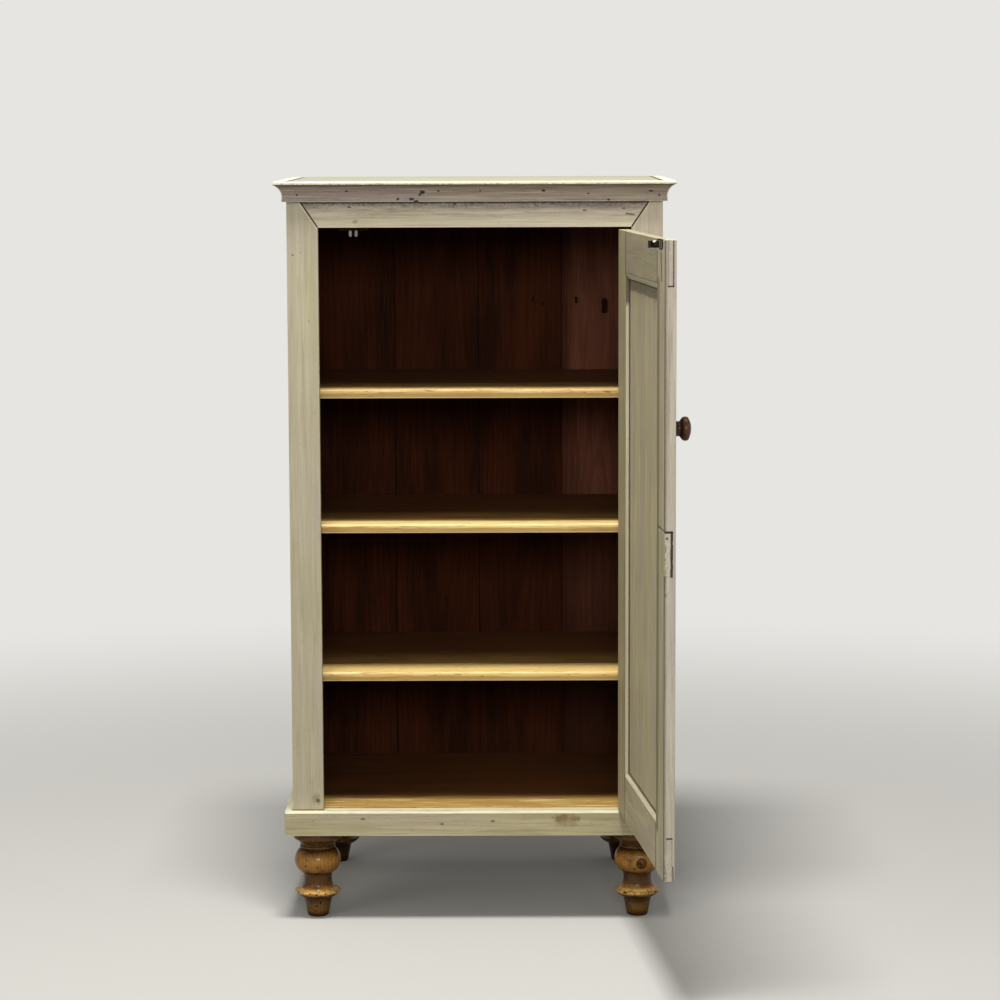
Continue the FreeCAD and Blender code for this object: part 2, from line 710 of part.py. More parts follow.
def catch_channel():
    """Folded channel, slotted below for the axles, with a stop between the sliders."""
    half_l = CHANNEL_L / 2
    half_w = CHANNEL_W / 2
    floor_z = CHANNEL_LOW_Z + CHANNEL_T
    roof_z = OPENING_TOP_Z - CHANNEL_T
    shell = around_catch(half_l, half_w, CHANNEL_LOW_Z, OPENING_TOP_Z)
    inside = around_catch(half_l - CHANNEL_T, half_w - CHANNEL_T, floor_z, roof_z)
    slot = around_catch(half_l - CHANNEL_T, CHANNEL_SLOT / 2, CHANNEL_LOW_Z, floor_z)
    stop = around_catch(STOP_W / 2, half_w - CHANNEL_T, floor_z, roof_z)
    return shell.cut(inside).cut(slot).fuse(stop).removeSplitter()


def catch_slider(side):
    """Sprung carrier with the roller's axle hanging from it."""
    x = CATCH_X + side * ROLLER_PITCH / 2
    carrier = box(x - SLIDER_L / 2, x + SLIDER_L / 2, CATCH_Y - SLIDER_W / 2,
                  CATCH_Y + SLIDER_W / 2, SLIDER_LOW_Z, SLIDER_TOP_Z)
    axle_low = ROLLER_LOW_Z - AXLE_END_PLAY
    axle = rod(x, CATCH_Y, axle_low, AXLE_R, SLIDER_LOW_Z - axle_low)
    head = rod(x, CATCH_Y, axle_low - AXLE_HEAD_H, AXLE_HEAD_R, AXLE_HEAD_H)
    return carrier.fuse([axle, head]).removeSplitter()


def catch_roller(side):
    x = CATCH_X + side * ROLLER_PITCH / 2
    roller = rod(x, CATCH_Y, ROLLER_LOW_Z, ROLLER_R, ROLLER_H)
    middle = (ROLLER_LOW_Z + ROLLER_TOP_Z) / 2
    roller = soften(roller, ROLLER_EASE, lambda c: not near(c.z, middle))
    return roller.cut(rod(x, CATCH_Y, ROLLER_LOW_Z, AXLE_R + AXLE_PLAY, ROLLER_H))


def strike():
    """Folded strip: two flanges on the door and a spear that passes the rollers."""
    neck = STRIKE_NECK_T / 2
    head = STRIKE_HEAD_T / 2
    tip = STRIKE_TIP_T / 2
    plate_y = DOOR_T + STRIKE_T
    neck_y = CATCH_Y + ROLLER_R + STRIKE_BEHIND
    head_y = neck_y + STRIKE_SHOULDER
    tip_y = head_y + STRIKE_POINT
    right = [(STRIKE_FLANGE, DOOR_T), (STRIKE_FLANGE, plate_y), (neck, plate_y), (neck, neck_y),
             (head, head_y), (tip, tip_y)]
    left = [(-x, y) for x, y in reversed(right)]
    z0 = STRIKE_Z - STRIKE_H / 2
    return prism([(CATCH_X + x, y, z0) for x, y in right + left], (0, 0, STRIKE_H))


# ---------------------------------------------------------------------------
# Assembly
# ---------------------------------------------------------------------------
def build_carcass():
    parts = {"side_right": side_board(), "top_board": top_board(), "bottom_board": bottom_board()}
    for i in range(BACK_COUNT):
        parts["back_board_%d" % (i + 1)] = back_board(i)
    for level, z in shelf_undersides().items():
        parts["shelf_" + level] = shelf(z)
        parts["cleat_%s_right" % level] = cleat(z)
    parts["frame_stile_right"] = frame_stile()
    parts["head_rail"] = head_rail()
    parts["bottom_rail"] = bottom_rail()
    parts["cornice_front"] = moulding_front(cornice_section, CORNICE_TOP_PROJ)
    parts["cornice_right"] = moulding_return(cornice_section, CORNICE_TOP_PROJ)
    envelope = plinth_envelope()
    parts["plinth_front"] = moulding_front(plinth_section, PLINTH_PROJ).common(envelope)
    parts["plinth_right"] = moulding_return(plinth_section, PLINTH_PROJ).common(envelope)
    for name in [n for n in parts if n.endswith("_right")]:
        parts[name.replace("_right", "_left")] = mirror_x(parts[name])
    front_x = HALF_W - FOOT_FRONT_INSET_X
    rear_x = HALF_W - FOOT_REAR_INSET_X
    rear_y = BODY_D - FOOT_REAR_INSET_Y
    parts["foot_front_left"] = foot(-front_x, FOOT_FRONT_INSET_Y)
    parts["foot_front_right"] = foot(front_x, FOOT_FRONT_INSET_Y)
    parts["foot_rear_left"] = foot(-rear_x, rear_y)
    parts["foot_rear_right"] = foot(rear_x, rear_y)
    parts["bearer_front"] = bearer(FRAME_T, front_x, FOOT_FRONT_INSET_Y)
    parts["bearer_rear"] = bearer(BACK_Y - BEARER_D, rear_x, rear_y)
    parts["catch_block"] = catch_block()
    parts["catch_channel"] = catch_channel()
    return parts


def build_door():
    parts = {"door_hinge_stile": door_stile(SIGHT_X1, DOOR_X1)}
    lock_stile = door_stile(DOOR_X0, SIGHT_X0)
    parts["door_lock_stile"] = lock_stile.cut(lock_patch(PATCH_GAP)).cut(knob_hole())
    parts["door_top_rail"] = door_rail(SIGHT_Z1, DOOR_Z1, DOOR_Z1)
    parts["door_bottom_rail"] = door_rail(DOOR_Z0, SIGHT_Z0, LOWER_TENON_Z1)
    parts["door_panel"] = panel()
    for side, bead in door_beads().items():
        parts["door_bead_" + side] = bead
    parts["lock_patch"] = lock_patch(0)
    parts["knob"] = knob()
    parts["catch_strike"] = strike()
    return parts


def fit_hinges(carcass, door):
    for level, z in HINGE_LEVELS.items():
        name = "hinge_%s_" % level
        carcass[name + "frame_leaf"] = hinge_leaf(z, FRAME_LEAF_X, 0, PIN_R)
        door[name + "door_leaf"] = hinge_leaf(z, DOOR_LEAF_X - LEAF_T, 1, PIN_R + PIN_PLAY)
        recess = leaf_recess(z, OPENING_HALF - EASE, FRAME_LEAF_X + LEAF_T)
        carcass["frame_stile_right"] = carcass["frame_stile_right"].cut(recess)
        recess = leaf_recess(z, DOOR_LEAF_X - LEAF_T, DOOR_X1 + EASE)
        door["door_hinge_stile"] = door["door_hinge_stile"].cut(recess)
    carcass["hinge_pins"] = Part.makeCompound([hinge_pin(z) for z in HINGE_LEVELS.values()])


def drive_screws(parts, places, direction, length, victims):
    """Sink screws flush at their places and open their holes in the named parts."""
    screws = []
    for place in places:
        blank = aim(screw(length), place, direction)
        for name in victims:
            parts[name] = parts[name].cut(blank)
        screws.append(blank.cut(aim(driver_slot(), place, direction)))
    return screws


def fit_screws(carcass, door):
    screws = drive_screws(carcass, hinge_screw_places(FRAME_LEAF_X), (1, 0, 0), HINGE_SCREW_L,
                          ["hinge_lower_frame_leaf", "hinge_upper_frame_leaf", "frame_stile_right"])
    plate_z = OPENING_TOP_Z - CHANNEL_T
    places = [(CATCH_X + s * CATCH_SCREW_X, CATCH_Y, plate_z) for s in (-1, 1)]
    screws += drive_screws(carcass, places, (0, 0, 1), CATCH_SCREW_L,
                           ["catch_channel", "catch_block"])
    carcass["screws_carcass"] = Part.makeCompound(screws)

    screws = drive_screws(door, hinge_screw_places(DOOR_LEAF_X), (-1, 0, 0), HINGE_SCREW_L,
                          ["hinge_lower_door_leaf", "hinge_upper_door_leaf", "door_hinge_stile"])
    places = [(CATCH_X + s * STRIKE_SCREW_X, DOOR_T + STRIKE_T, STRIKE_Z) for s in (-1, 1)]
    screws += drive_screws(door, places, (0, -1, 0), STRIKE_SCREW_L,
                           ["catch_strike", "door_lock_stile", "door_top_rail"])
    door["screws_door"] = Part.makeCompound(screws)


def swing(shape, degrees):
    moved = shape.copy()
    moved.rotate(V(HINGE_X, HINGE_Y, 0), V(0, 0, 1), degrees)
    return moved


def main():
    carcass = build_carcass()
    door = build_door()
    fit_hinges(carcass, door)
    fit_screws(carcass, door)

    parts = dict(carcass)
    for side, sign in (("left", -1), ("right", 1)):
        parts["catch_slider_" + side] = catch_slider(sign)
        parts["catch_roller_" + side] = catch_roller(sign)
    for name, shape in door.items():
        parts[name] = swing(shape, DOOR_OPEN_DEG)

    # The origin is the middle of the box round the open cabinet, on the floor.
    whole = FreeCAD.BoundBox()
    for shape in parts.values():
        whole.add(shape.optimalBoundingBox(False))
    shift = V(-whole.Center.x, -whole.Center.y, 0)
    for name, shape in parts.items():
        moved = shape.copy()
        moved.translate(shift)
        moved.exportStep("parts/%s.step" % name)

    print("parts %d, size %.1f x %.1f x %.1f" % (len(parts), whole.XLength, whole.YLength,
                                               whole.ZLength))
    print("moved by %.4f %.4f" % (shift.x, shift.y))
    print("hinge axis %.4f %.4f" % (HINGE_X + shift.x, HINGE_Y + shift.y))


main()
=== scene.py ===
# %% [markdown]
# # A painted pine cupboard with one door
# The construction comes as a fixed frame of named boards, hinges and feet. This lesson dresses
# it: every board gets its paint or its bare wood, the turned feet are made again by Geometry
# Nodes with their knocks and worm holes, and nails are driven where such a cupboard has them.

# %% Load the frame
import json
import math
import random

import bmesh
import bpy
from mathutils import Euler, Matrix, Vector


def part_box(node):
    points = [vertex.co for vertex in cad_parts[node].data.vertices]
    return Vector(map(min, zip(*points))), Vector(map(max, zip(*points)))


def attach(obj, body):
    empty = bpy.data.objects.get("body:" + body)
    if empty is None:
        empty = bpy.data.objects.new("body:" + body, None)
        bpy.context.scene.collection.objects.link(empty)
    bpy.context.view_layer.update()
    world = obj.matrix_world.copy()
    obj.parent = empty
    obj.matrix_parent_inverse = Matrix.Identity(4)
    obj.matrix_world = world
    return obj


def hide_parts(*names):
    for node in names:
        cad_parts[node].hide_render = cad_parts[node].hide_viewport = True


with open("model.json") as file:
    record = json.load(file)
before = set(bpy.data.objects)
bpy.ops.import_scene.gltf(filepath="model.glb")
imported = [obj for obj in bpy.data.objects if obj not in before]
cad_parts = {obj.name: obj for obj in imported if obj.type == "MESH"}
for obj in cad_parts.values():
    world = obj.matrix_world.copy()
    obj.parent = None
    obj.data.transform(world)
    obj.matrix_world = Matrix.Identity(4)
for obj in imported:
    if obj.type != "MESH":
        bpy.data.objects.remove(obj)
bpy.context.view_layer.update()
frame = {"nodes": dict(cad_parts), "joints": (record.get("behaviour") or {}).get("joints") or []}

NODES = frame["nodes"]

# %% [markdown]
# ## Where things are
# Sizes that the finishes need are read from the frame, so that a worn edge or a nail stays on
# its board. Marks are placed in millimetres from the front of the face frame, which is easier
# to think in. The door stands open in the frame, so its marks are given for the shut door and
# turned by the same angle about the hinge.

# %% Sizes read from the frame
MM = 0.001
HINGE = next(j for j in frame["joints"] if j["name"] == "door_hinge")
HINGE_POINT = Vector(HINGE["pos_m"])
OPEN_ANGLE = -math.radians(HINGE["range_deg"][0])
FRONT_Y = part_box("frame_stile_left")[0].y
FRAME_BACK_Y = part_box("head_rail")[1].y
BACK_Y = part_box("side_left")[1].y
HALF_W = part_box("side_right")[1].x
OPENING_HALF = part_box("frame_stile_right")[0].x
INNER_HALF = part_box("cleat_lower_right")[1].x
OPENING_TOP_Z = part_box("catch_block")[0].z
SILL_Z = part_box("bottom_rail")[1].z
TOP_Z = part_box("top_board")[1].z
CORNICE_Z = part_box("cornice_front")[0].z


def spot(x, y, z):
    """A place in millimetres, y from the front of the face frame, as a point of the frame."""
    return Vector((x * MM, y * MM + FRONT_Y, z * MM))


def on_open_door(point):
    """Where a point of the shut door lies while the door stands open."""
    return HINGE_POINT + Matrix.Rotation(OPEN_ANGLE, 3, "Z") @ (point - HINGE_POINT)


print("front", round(FRONT_Y, 4), "open", round(math.degrees(OPEN_ANGLE), 1))

# %% [markdown]
# ## One helper for nodes, one for colour
# Colours are written as sRGB hex values, as a paint chart gives them, and one function turns
# them to the linear values that the shader works in. Another adds a node: its values go to the
# sockets in their order, and a value that is itself a socket is joined by a link.

# %% Helpers
MATH = "ShaderNodeMath"
MIX = "ShaderNodeMix"
RANGE = "ShaderNodeMapRange"
NOISE = "ShaderNodeTexNoise"
CELLS = "ShaderNodeTexVoronoi"
MAPPING = "ShaderNodeMapping"
SPLIT = "ShaderNodeSeparateXYZ"
VECTOR = "ShaderNodeVectorMath"


def linear(colour):
    """sRGB hex to the linear colour of the shader."""
    channels = []
    for i in (1, 3, 5):
        c = int(colour[i:i + 2], 16) / 255
        channels.append(c / 12.92 if c <= 0.04045 else ((c + 0.055) / 1.055) ** 2.4)
    return (*channels, 1.0)


def add(tree, kind, *values, named=None, **settings):
    """Add a node with its settings and links, and give back its first output in use."""
    node = tree.nodes.new(kind)
    for key, value in settings.items():
        setattr(node, key, value)
    in_use = [socket for socket in node.inputs if socket.enabled]
    wanted = list(zip(in_use, values))
    wanted += [(next(s for s in in_use if s.name == key), v) for key, v in (named or {}).items()]
    for socket, value in wanted:
        if isinstance(value, bpy.types.NodeSocket):
            tree.links.new(value, socket)
        elif value is not None:
            socket.default_value = value
    return next((socket for socket in node.outputs if socket.enabled), None)


print("a mid grey in linear light", round(linear("#808080")[0], 4))

# %% [markdown]
# ## Board coordinates
# Grain and brush marks run along a board. Each material therefore starts from coordinates that
# are centred on its board and turned so that Z runs along it. For the noises they are also
# moved by a different amount for each board, so that no two boards show the same figure. The
# door's boards are first turned back by the angle that the door stands open. A map unwrapped
# onto each board would do the same, but this needs no map and fits a board of any size.

# %% Coordinates and noise on one board
TURNS = {"z": (0, 0, 0), "x": (0, math.radians(-90), 0), "y": (math.radians(90), 0, 0)}
SHIFT_M = 20              # how far the noise of a board may be moved, either way


class Board:
    """Sockets that a finish needs: place in the cupboard, and place along the board."""

    def __init__(self, name, node, axis, door=False):
        self.material = bpy.data.materials.new(name)
        self.material.use_nodes = True
        self.tree = self.material.node_tree
        self.tree.nodes.clear()
        low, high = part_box(node)
        centre = (low + high) / 2
        where = add(self.tree, "ShaderNodeTexCoord").node.outputs["Object"]
        if door:
            back = Matrix.Rotation(-OPEN_ANGLE, 3, "Z")
            where = add(self.tree, MAPPING, where, HINGE_POINT - back @ HINGE_POINT,
                        (0, 0, -OPEN_ANGLE))
            centre = HINGE_POINT + back @ (centre - HINGE_POINT)
        self.place = where
        turned = Euler(TURNS[axis]).to_matrix()
        self.local = add(self.tree, MAPPING, where, -(turned @ centre), TURNS[axis])
        draw = random.Random(name)
        shift = [draw.uniform(-SHIFT_M, SHIFT_M) for _ in range(3)]
        self.along = add(self.tree, VECTOR, self.local, shift, operation="ADD")
        self.xyz = add(self.tree, SPLIT, self.place).node.outputs

    def streaks(self, width, length, detail=3.0, rough=0.55):
        """Noise drawn out along the board, in streaks so many millimetres wide and long."""
        across = 1 / (width * MM)
        drawn = add(self.tree, MAPPING, self.along, None, None, (across, across, 1 / (length * MM)))
        return add(self.tree, NOISE, drawn, 1.0, detail, rough)

    def clouds(self, size, detail=3.0, rough=0.55):
        """Noise without a direction, with clouds so many millimetres across."""
        return self.streaks(size, size, detail, rough)

    def wavering(self, axis, amount, *noise):
        """X, Y or Z in the cupboard, moved by up to so many millimetres by streaks of noise."""
        return add(self.tree, MATH, self.streaks(*noise), amount * MM, self.xyz[axis],
                   operation="MULTIPLY_ADD")

    def lay(self, colour, over, pattern, low, high, amount=1.0):
        """Lay one colour over another where a pattern goes from low to high."""
        where = add(self.tree, RANGE, pattern, low, high, 0.0, amount,
                    interpolation_type="SMOOTHSTEP")
        both = [linear(c) if isinstance(c, str) else c for c in (colour, over)]
        return add(self.tree, MIX, where, *both, data_type="RGBA")

    def layers(self, colour, rows):
        """Lay several colours on one ground, one after another, each row as for lay."""
        for row in rows:
            colour = self.lay(colour, *row)
        return colour

    def finish(self, colour, height, depth, roughness, specular=0.35, **more):
        """The shader, with the height field as its bump so many millimetres deep."""
        shader = add(self.tree, "ShaderNodeBsdfPrincipled", colour).node
        if isinstance(roughness, float):
            shader.inputs["Roughness"].default_value = roughness
        else:
            self.tree.links.new(roughness, shader.inputs["Roughness"])
        shader.inputs["Specular IOR Level"].default_value = specular
        for key, value in more.items():
            shader.inputs[key.replace("_", " ")].default_value = value
        bump = add(self.tree, "ShaderNodeBump", named={"Distance": depth * MM, "Height": height})
        self.tree.links.new(bump, shader.inputs["Normal"])
        add(self.tree, "ShaderNodeOutputMaterial", shader.outputs[0])
        return self.material


def dress(node, material):
    """Give a node of the frame its finish."""
    NODES[node].data.materials.clear()
    NODES[node].data.materials.append(material)


print("the grain can run along", ", ".join(sorted(TURNS)))

# %% [markdown]
# Most wear, and the dirt and painted shade in corners, is a question of distance: from a line,
# from the edge of a rectangle, from an edge of the board or from a corner. Each of these helpers
# gives such a distance or share as a socket, and a finish then lays a colour where it is small.

# %% Distances on one board
NO_LENGTH = 1e-12         # keeps a line without a length from dividing by zero
OUTLINE_WAVER_MM = 1.2


def upright(x, y, low_z, high_z):
    """The two ends of an upright line."""
    return Vector((x, y, low_z)), Vector((x, y, high_z))


def near_line(board, start, end, ragged=0.0, reach=(1, 1, 1)):
    """Distance from a line between two points. Ragged makes it waver by so many millimetres,
    and a reach of (1, 0, 1) marks a hollow face whatever its depth."""
    tree, span = board.tree, end - start
    from_start = add(tree, VECTOR, board.place, start, operation="SUBTRACT")
    from_start = add(tree, VECTOR, from_start, reach, operation="MULTIPLY")
    along = add(tree, VECTOR, from_start, span, operation="DOT_PRODUCT").node.outputs["Value"]
    share = add(tree, MATH, along, 1 / max(span.length_squared, NO_LENGTH),
                operation="MULTIPLY", use_clamp=True)
    nearest = add(tree, VECTOR, span, operation="SCALE", named={"Scale": share})
    distance = add(tree, VECTOR, from_start, nearest, operation="DISTANCE").node.outputs["Value"]
    if ragged:
        waver = add(tree, MATH, board.clouds(7, 4.0), -0.5, operation="ADD")
        distance = add(tree, MATH, waver, ragged * MM, distance, operation="MULTIPLY_ADD")
    return distance


def near_outline(board, low, high):
    """Distance from the edge of an upright rectangle between two (x, z) corners."""
    tree, sides = board.tree, []
    for axis, a, b in ((0, low[0], high[0]), (2, low[1], high[1])):
        off = add(tree, MATH, board.xyz[axis], (a + b) / 2, operation="SUBTRACT")
        off = add(tree, MATH, off, operation="ABSOLUTE")
        sides.append(add(tree, MATH, off, (b - a) / 2, operation="SUBTRACT"))
    edge = add(tree, MATH, *sides, operation="MAXIMUM")
    waver = add(tree, MATH, board.clouds(9, 3.0), -0.5, operation="ADD")
    edge = add(tree, MATH, waver, OUTLINE_WAVER_MM * MM, edge, operation="MULTIPLY_ADD")
    return add(tree, MATH, edge, operation="ABSOLUTE")


def edge_closeness(board, reach, samples):
    """1 on a flat face, and less within so many millimetres of an edge."""
    geometry = add(board.tree, "ShaderNodeNewGeometry").node
    rounded = add(board.tree, "ShaderNodeBevel", reach * MM, samples=samples)
    return add(board.tree, VECTOR, rounded, geometry.outputs["True Normal"],
               operation="DOT_PRODUCT").node.outputs["Value"]


def dirt_and_shade_in_nooks(board, reach, samples, patch, patchy):
    """1 on an open face, and less within so many millimetres of a corner, in patches."""
    # The darkening in corners is dirt, and also painted shade where little light gets in.
    shade = add(board.tree, "ShaderNodeAmbientOcclusion", named={"Distance": reach * MM},
                samples=samples).node.outputs["AO"]
    return add(board.tree, MATH, board.clouds(patch, 4.0), patchy, shade,
               operation="MULTIPLY_ADD")


print("outlines waver by", OUTLINE_WAVER_MM, "mm")

# %% [markdown]
# ## Old pine
# Pine shows wide pale bands of spring growth between narrow brown lines of late growth. A board
# is a slice through those rings, so the rings are drawn as true circles about the heart of the
# tree, which lies some way behind the board and wanders along it. Where the slice runs close
# past them, they come out as long flames. A wave texture would give even stripes instead. Fine
# fibres and a few knots lie on top.

# %% Pine figure
RING_MM = 9.0             # spacing of the growth rings, wide ones so that they show
FIBRE_MM = 0.8            # a fibre streak, drawn wider than a real one so that it shows
HEART_MM = 38.0           # the heart of the tree behind the face of the board
WANDER_MM = 34.0          # how far the heart wanders along the board
WANDERS = (4.0, 4.0, 1.3)   # waves in a metre, across and along the board


def from_heart(board, heart):
    """Distance from the heart of the tree, measured across the grain."""
    flat = add(board.tree, VECTOR, heart, (1, 1, 0), operation="MULTIPLY")
    return add(board.tree, VECTOR, flat, operation="LENGTH").node.outputs["Value"]


def growth_rings(board, radius, spacing, low):
    """Rings so many millimetres apart, 1 in the late growth and 0 in the early growth."""
    turns = add(board.tree, MATH, radius, 2 * math.pi / (spacing * MM), operation="MULTIPLY")
    wave = add(board.tree, MATH, turns, operation="SINE")
    return add(board.tree, RANGE, wave, low, 1.0, interpolation_type="SMOOTHSTEP")


def pine_figure(board):
    """Growth rings from 0 to 1 and fibres from 0 to 1."""
    tree = board.tree
    slow = add(tree, NOISE, add(tree, MAPPING, board.along, None, None, WANDERS), 1.0, 2.0,
               named={"Roughness": 0.45}).node.outputs["Color"]
    wander = add(tree, VECTOR, slow, (0.5, 0.5, 0.5), operation="SUBTRACT")
    wander = add(tree, VECTOR, wander, operation="SCALE", named={"Scale": 2 * WANDER_MM * MM})
    heart = add(tree, VECTOR, board.local, wander, operation="ADD")
    heart = add(tree, VECTOR, heart, (0.2 * HEART_MM * MM, HEART_MM * MM, 0), operation="ADD")
    rings = growth_rings(board, from_heart(board, heart), RING_MM, -0.3)
    return rings, board.streaks(FIBRE_MM, 70, 3.0, 0.6)


def knots(board, size, spacing):
    """Knots so many millimetres across and apart: 1 in the middle of a knot."""
    drawn = add(board.tree, MAPPING, board.along, None, None, (1.0, 1.0, 0.6))
    cells = add(board.tree, CELLS, drawn, 1 / (spacing * MM))
    edge = size / spacing / 2
    return add(board.tree, RANGE, cells, edge, edge * 0.4, interpolation_type="SMOOTHSTEP")


print("growth rings", RING_MM, "mm apart, fibres", FIBRE_MM, "mm wide")

# %% [markdown]
# ## Bare pine inside
# The inside is sawn and planed pine that was never painted. Its back boards, cleats and the
# inner faces of the sides have gone a deep red-brown with age. Old dry pine has no polish, so it
# throws back almost no highlight. The same figure serves for all of them in two sets of colours,
# and only the rear faces get layers of their own. The redder set, on the right-hand back board, is
# partly that board's own wood and partly painted light; painted shade darkens it lower down and
# along its left edge.

# %% Aged pine, for the back boards and the insides
OLD_BROWN = ("#271005", "#431E0B", "#613417")    # dark, middle and light colour
OLD_RED_AND_LIT = ("#553023", "#7B4936", "#9C6950")
BACK_PAINTED_SHADE = "#2A1306"
REDDEST_Z = (0.95, 0.3)   # the red board is full red above the first height, and painted shade turns it brown at the second
BACK_HOLE_Y_MM = 491      # the face of the back boards, from the front of the frame
BACK_HOLES = [(240, 1050, 8.0), (104, 1070, 2.4), (123, 1061, 2.0), (186, 1066, 3.6)]


def aged_pine_layers(board, tones=OLD_BROWN):
    """Colour and height of pine gone brown with age."""
    dark, mid, light = tones
    rings, fibres = pine_figure(board)
    colour = board.layers(dark, [
        (mid, board.streaks(60, 420, 4.0, 0.6), 0.35, 0.65),
        (light, fibres, 0.45, 0.85, 0.55),
        (dark, rings, 0.3, 1.0, 0.3),
        ("#120705", knots(board, 17, 310), 0.0, 1.0)])
    height = add(board.tree, MATH, rings, 0.4, fibres, operation="MULTIPLY_ADD")
    return colour, height


def outside_of_back(board, colour, low, high):
    """The rear faces never met wax or hands: grey-brown, dusty, with open joints."""
    raw = board.layers("#8A6B49", [
        ("#6A4E34", board.streaks(24, 380, 4.0), 0.4, 0.62),
        ("#A08460", board.streaks(1.6, 120, 4.0, 0.6), 0.5, 0.7, 0.6),
        ("#5C432C", board.clouds(90, 4.0), 0.5, 0.66, 0.6)])
    colour = board.lay(colour, raw, board.xyz[1], BACK_Y - 1.2 * MM, BACK_Y - 0.6 * MM)
    for x in (low.x, high.x):
        joint = near_line(board, *upright(x, 0, low.z, high.z), 0.8, (1, 0, 1))
        colour = board.lay(colour, "#0C0603", joint, 1.9 * MM, 0.9 * MM, 0.9)
    return colour


def aged_pine(node, axis, tones=OLD_BROWN):
    """The finish of one bare board inside."""
    board = Board("aged_pine_" + node, node, axis)
    colour, height = aged_pine_layers(board, tones)
    low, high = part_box(node)
    if node.startswith("back"):
        colour = outside_of_back(board, colour, low, high)
    # The red board is partly painted light; painted shade darkens it lower down and at its left
    # edge.
    if tones is OLD_RED_AND_LIT:
        colour = board.lay(colour, BACK_PAINTED_SHADE, board.xyz[2], *REDDEST_Z, 0.8)
        colour = board.lay(colour, BACK_PAINTED_SHADE, board.xyz[0], low.x + 30 * MM, low.x, 0.6)
    for x, z, radius in BACK_HOLES if node.startswith("back") else ():
        if low.x < x * MM < high.x:
            hole = spot(x, BACK_HOLE_Y_MM, z)
            ring = near_line(board, hole, hole + Vector((0, 0, 2.2 * radius * MM)), radius * 0.8)
            colour = board.lay(colour, "#080302", ring, radius * MM, radius * 0.5 * MM, 0.9)
    return board.finish(colour, height, 0.35, 0.75, specular=0.06)


print("aged pine in two sets of colours, knot holes in the back", len(BACK_HOLES))

# %% Dress the bare boards
BARE_BOARDS = {"back_board_1": "z", "back_board_2": "z", "back_board_3": "z",
               "back_board_4": "z", "bearer_front": "x", "bearer_rear": "x", "catch_block": "x",
               "cleat_lower_left": "y", "cleat_lower_right": "y", "cleat_middle_left": "y",
               "cleat_middle_right": "y", "cleat_upper_left": "y", "cleat_upper_right": "y"}
for name, axis in BARE_BOARDS.items():
    dress(name, aged_pine(name, axis, OLD_RED_AND_LIT if name == "back_board_4" else OLD_BROWN))
print("aged pine on", len(BARE_BOARDS), "nodes")

# %% [markdown]
# The shelves are the same pine kept clean: pale and yellow on their front edges, where hands and
# cloths rub them, then worn, then brown towards the back. The pale strip is also painted light on
# the front of each shelf, and the brown is partly painted shade. How deep the pale strip reaches
# is set for each shelf. One mask of the distance from the front edge, made ragged by noise, does it.
# Strips with a material each would show straight joints.


# %% Three states of the shelf wood
SHELF_RAGGED_MM = 26      # how far the edge of the pale strip wavers
SHELF_FADE_MM = 14        # over how much depth the pale wood turns to worn wood


def pale_worn_and_brown(board, clean, deep, rings, fibres):
    """The pale wood at the front, kept clean and partly painted light, the worn wood behind it,
    and the brown at the back, partly painted shade.
    """
    pale = board.layers(clean, [
        (deep, rings, 0.2, 1.0, 0.55),
        ("#AE7F3E", fibres, 0.5, 0.8, 0.6),
        ("#F0D999", board.streaks(7, 120), 0.5, 0.68, 0.7),
        ("#8F6230", board.streaks(1.8, 70, 5.0, 0.7), 0.54, 0.68, 0.75),
        ("#6E4620", board.streaks(3.4, 22, 5.0, 0.7), 0.57, 0.69, 0.85)])
    worn = board.layers("#A07E44", [
        ("#5E431F", board.streaks(7, 90, 4.0, 0.6), 0.4, 0.7, 0.9),
        ("#C7A562", fibres, 0.55, 0.85, 0.5)])
    brown = board.layers("#6E4320", [
        ("#43260F", rings, 0.1, 1.0, 0.85),
        ("#8A5C30", fibres, 0.5, 0.85, 0.5),
        ("#2A150A", board.streaks(26, 300, 4.0), 0.48, 0.7, 0.6)])
    return pale, worn, brown


print("clean strip wavers by", SHELF_RAGGED_MM, "mm")


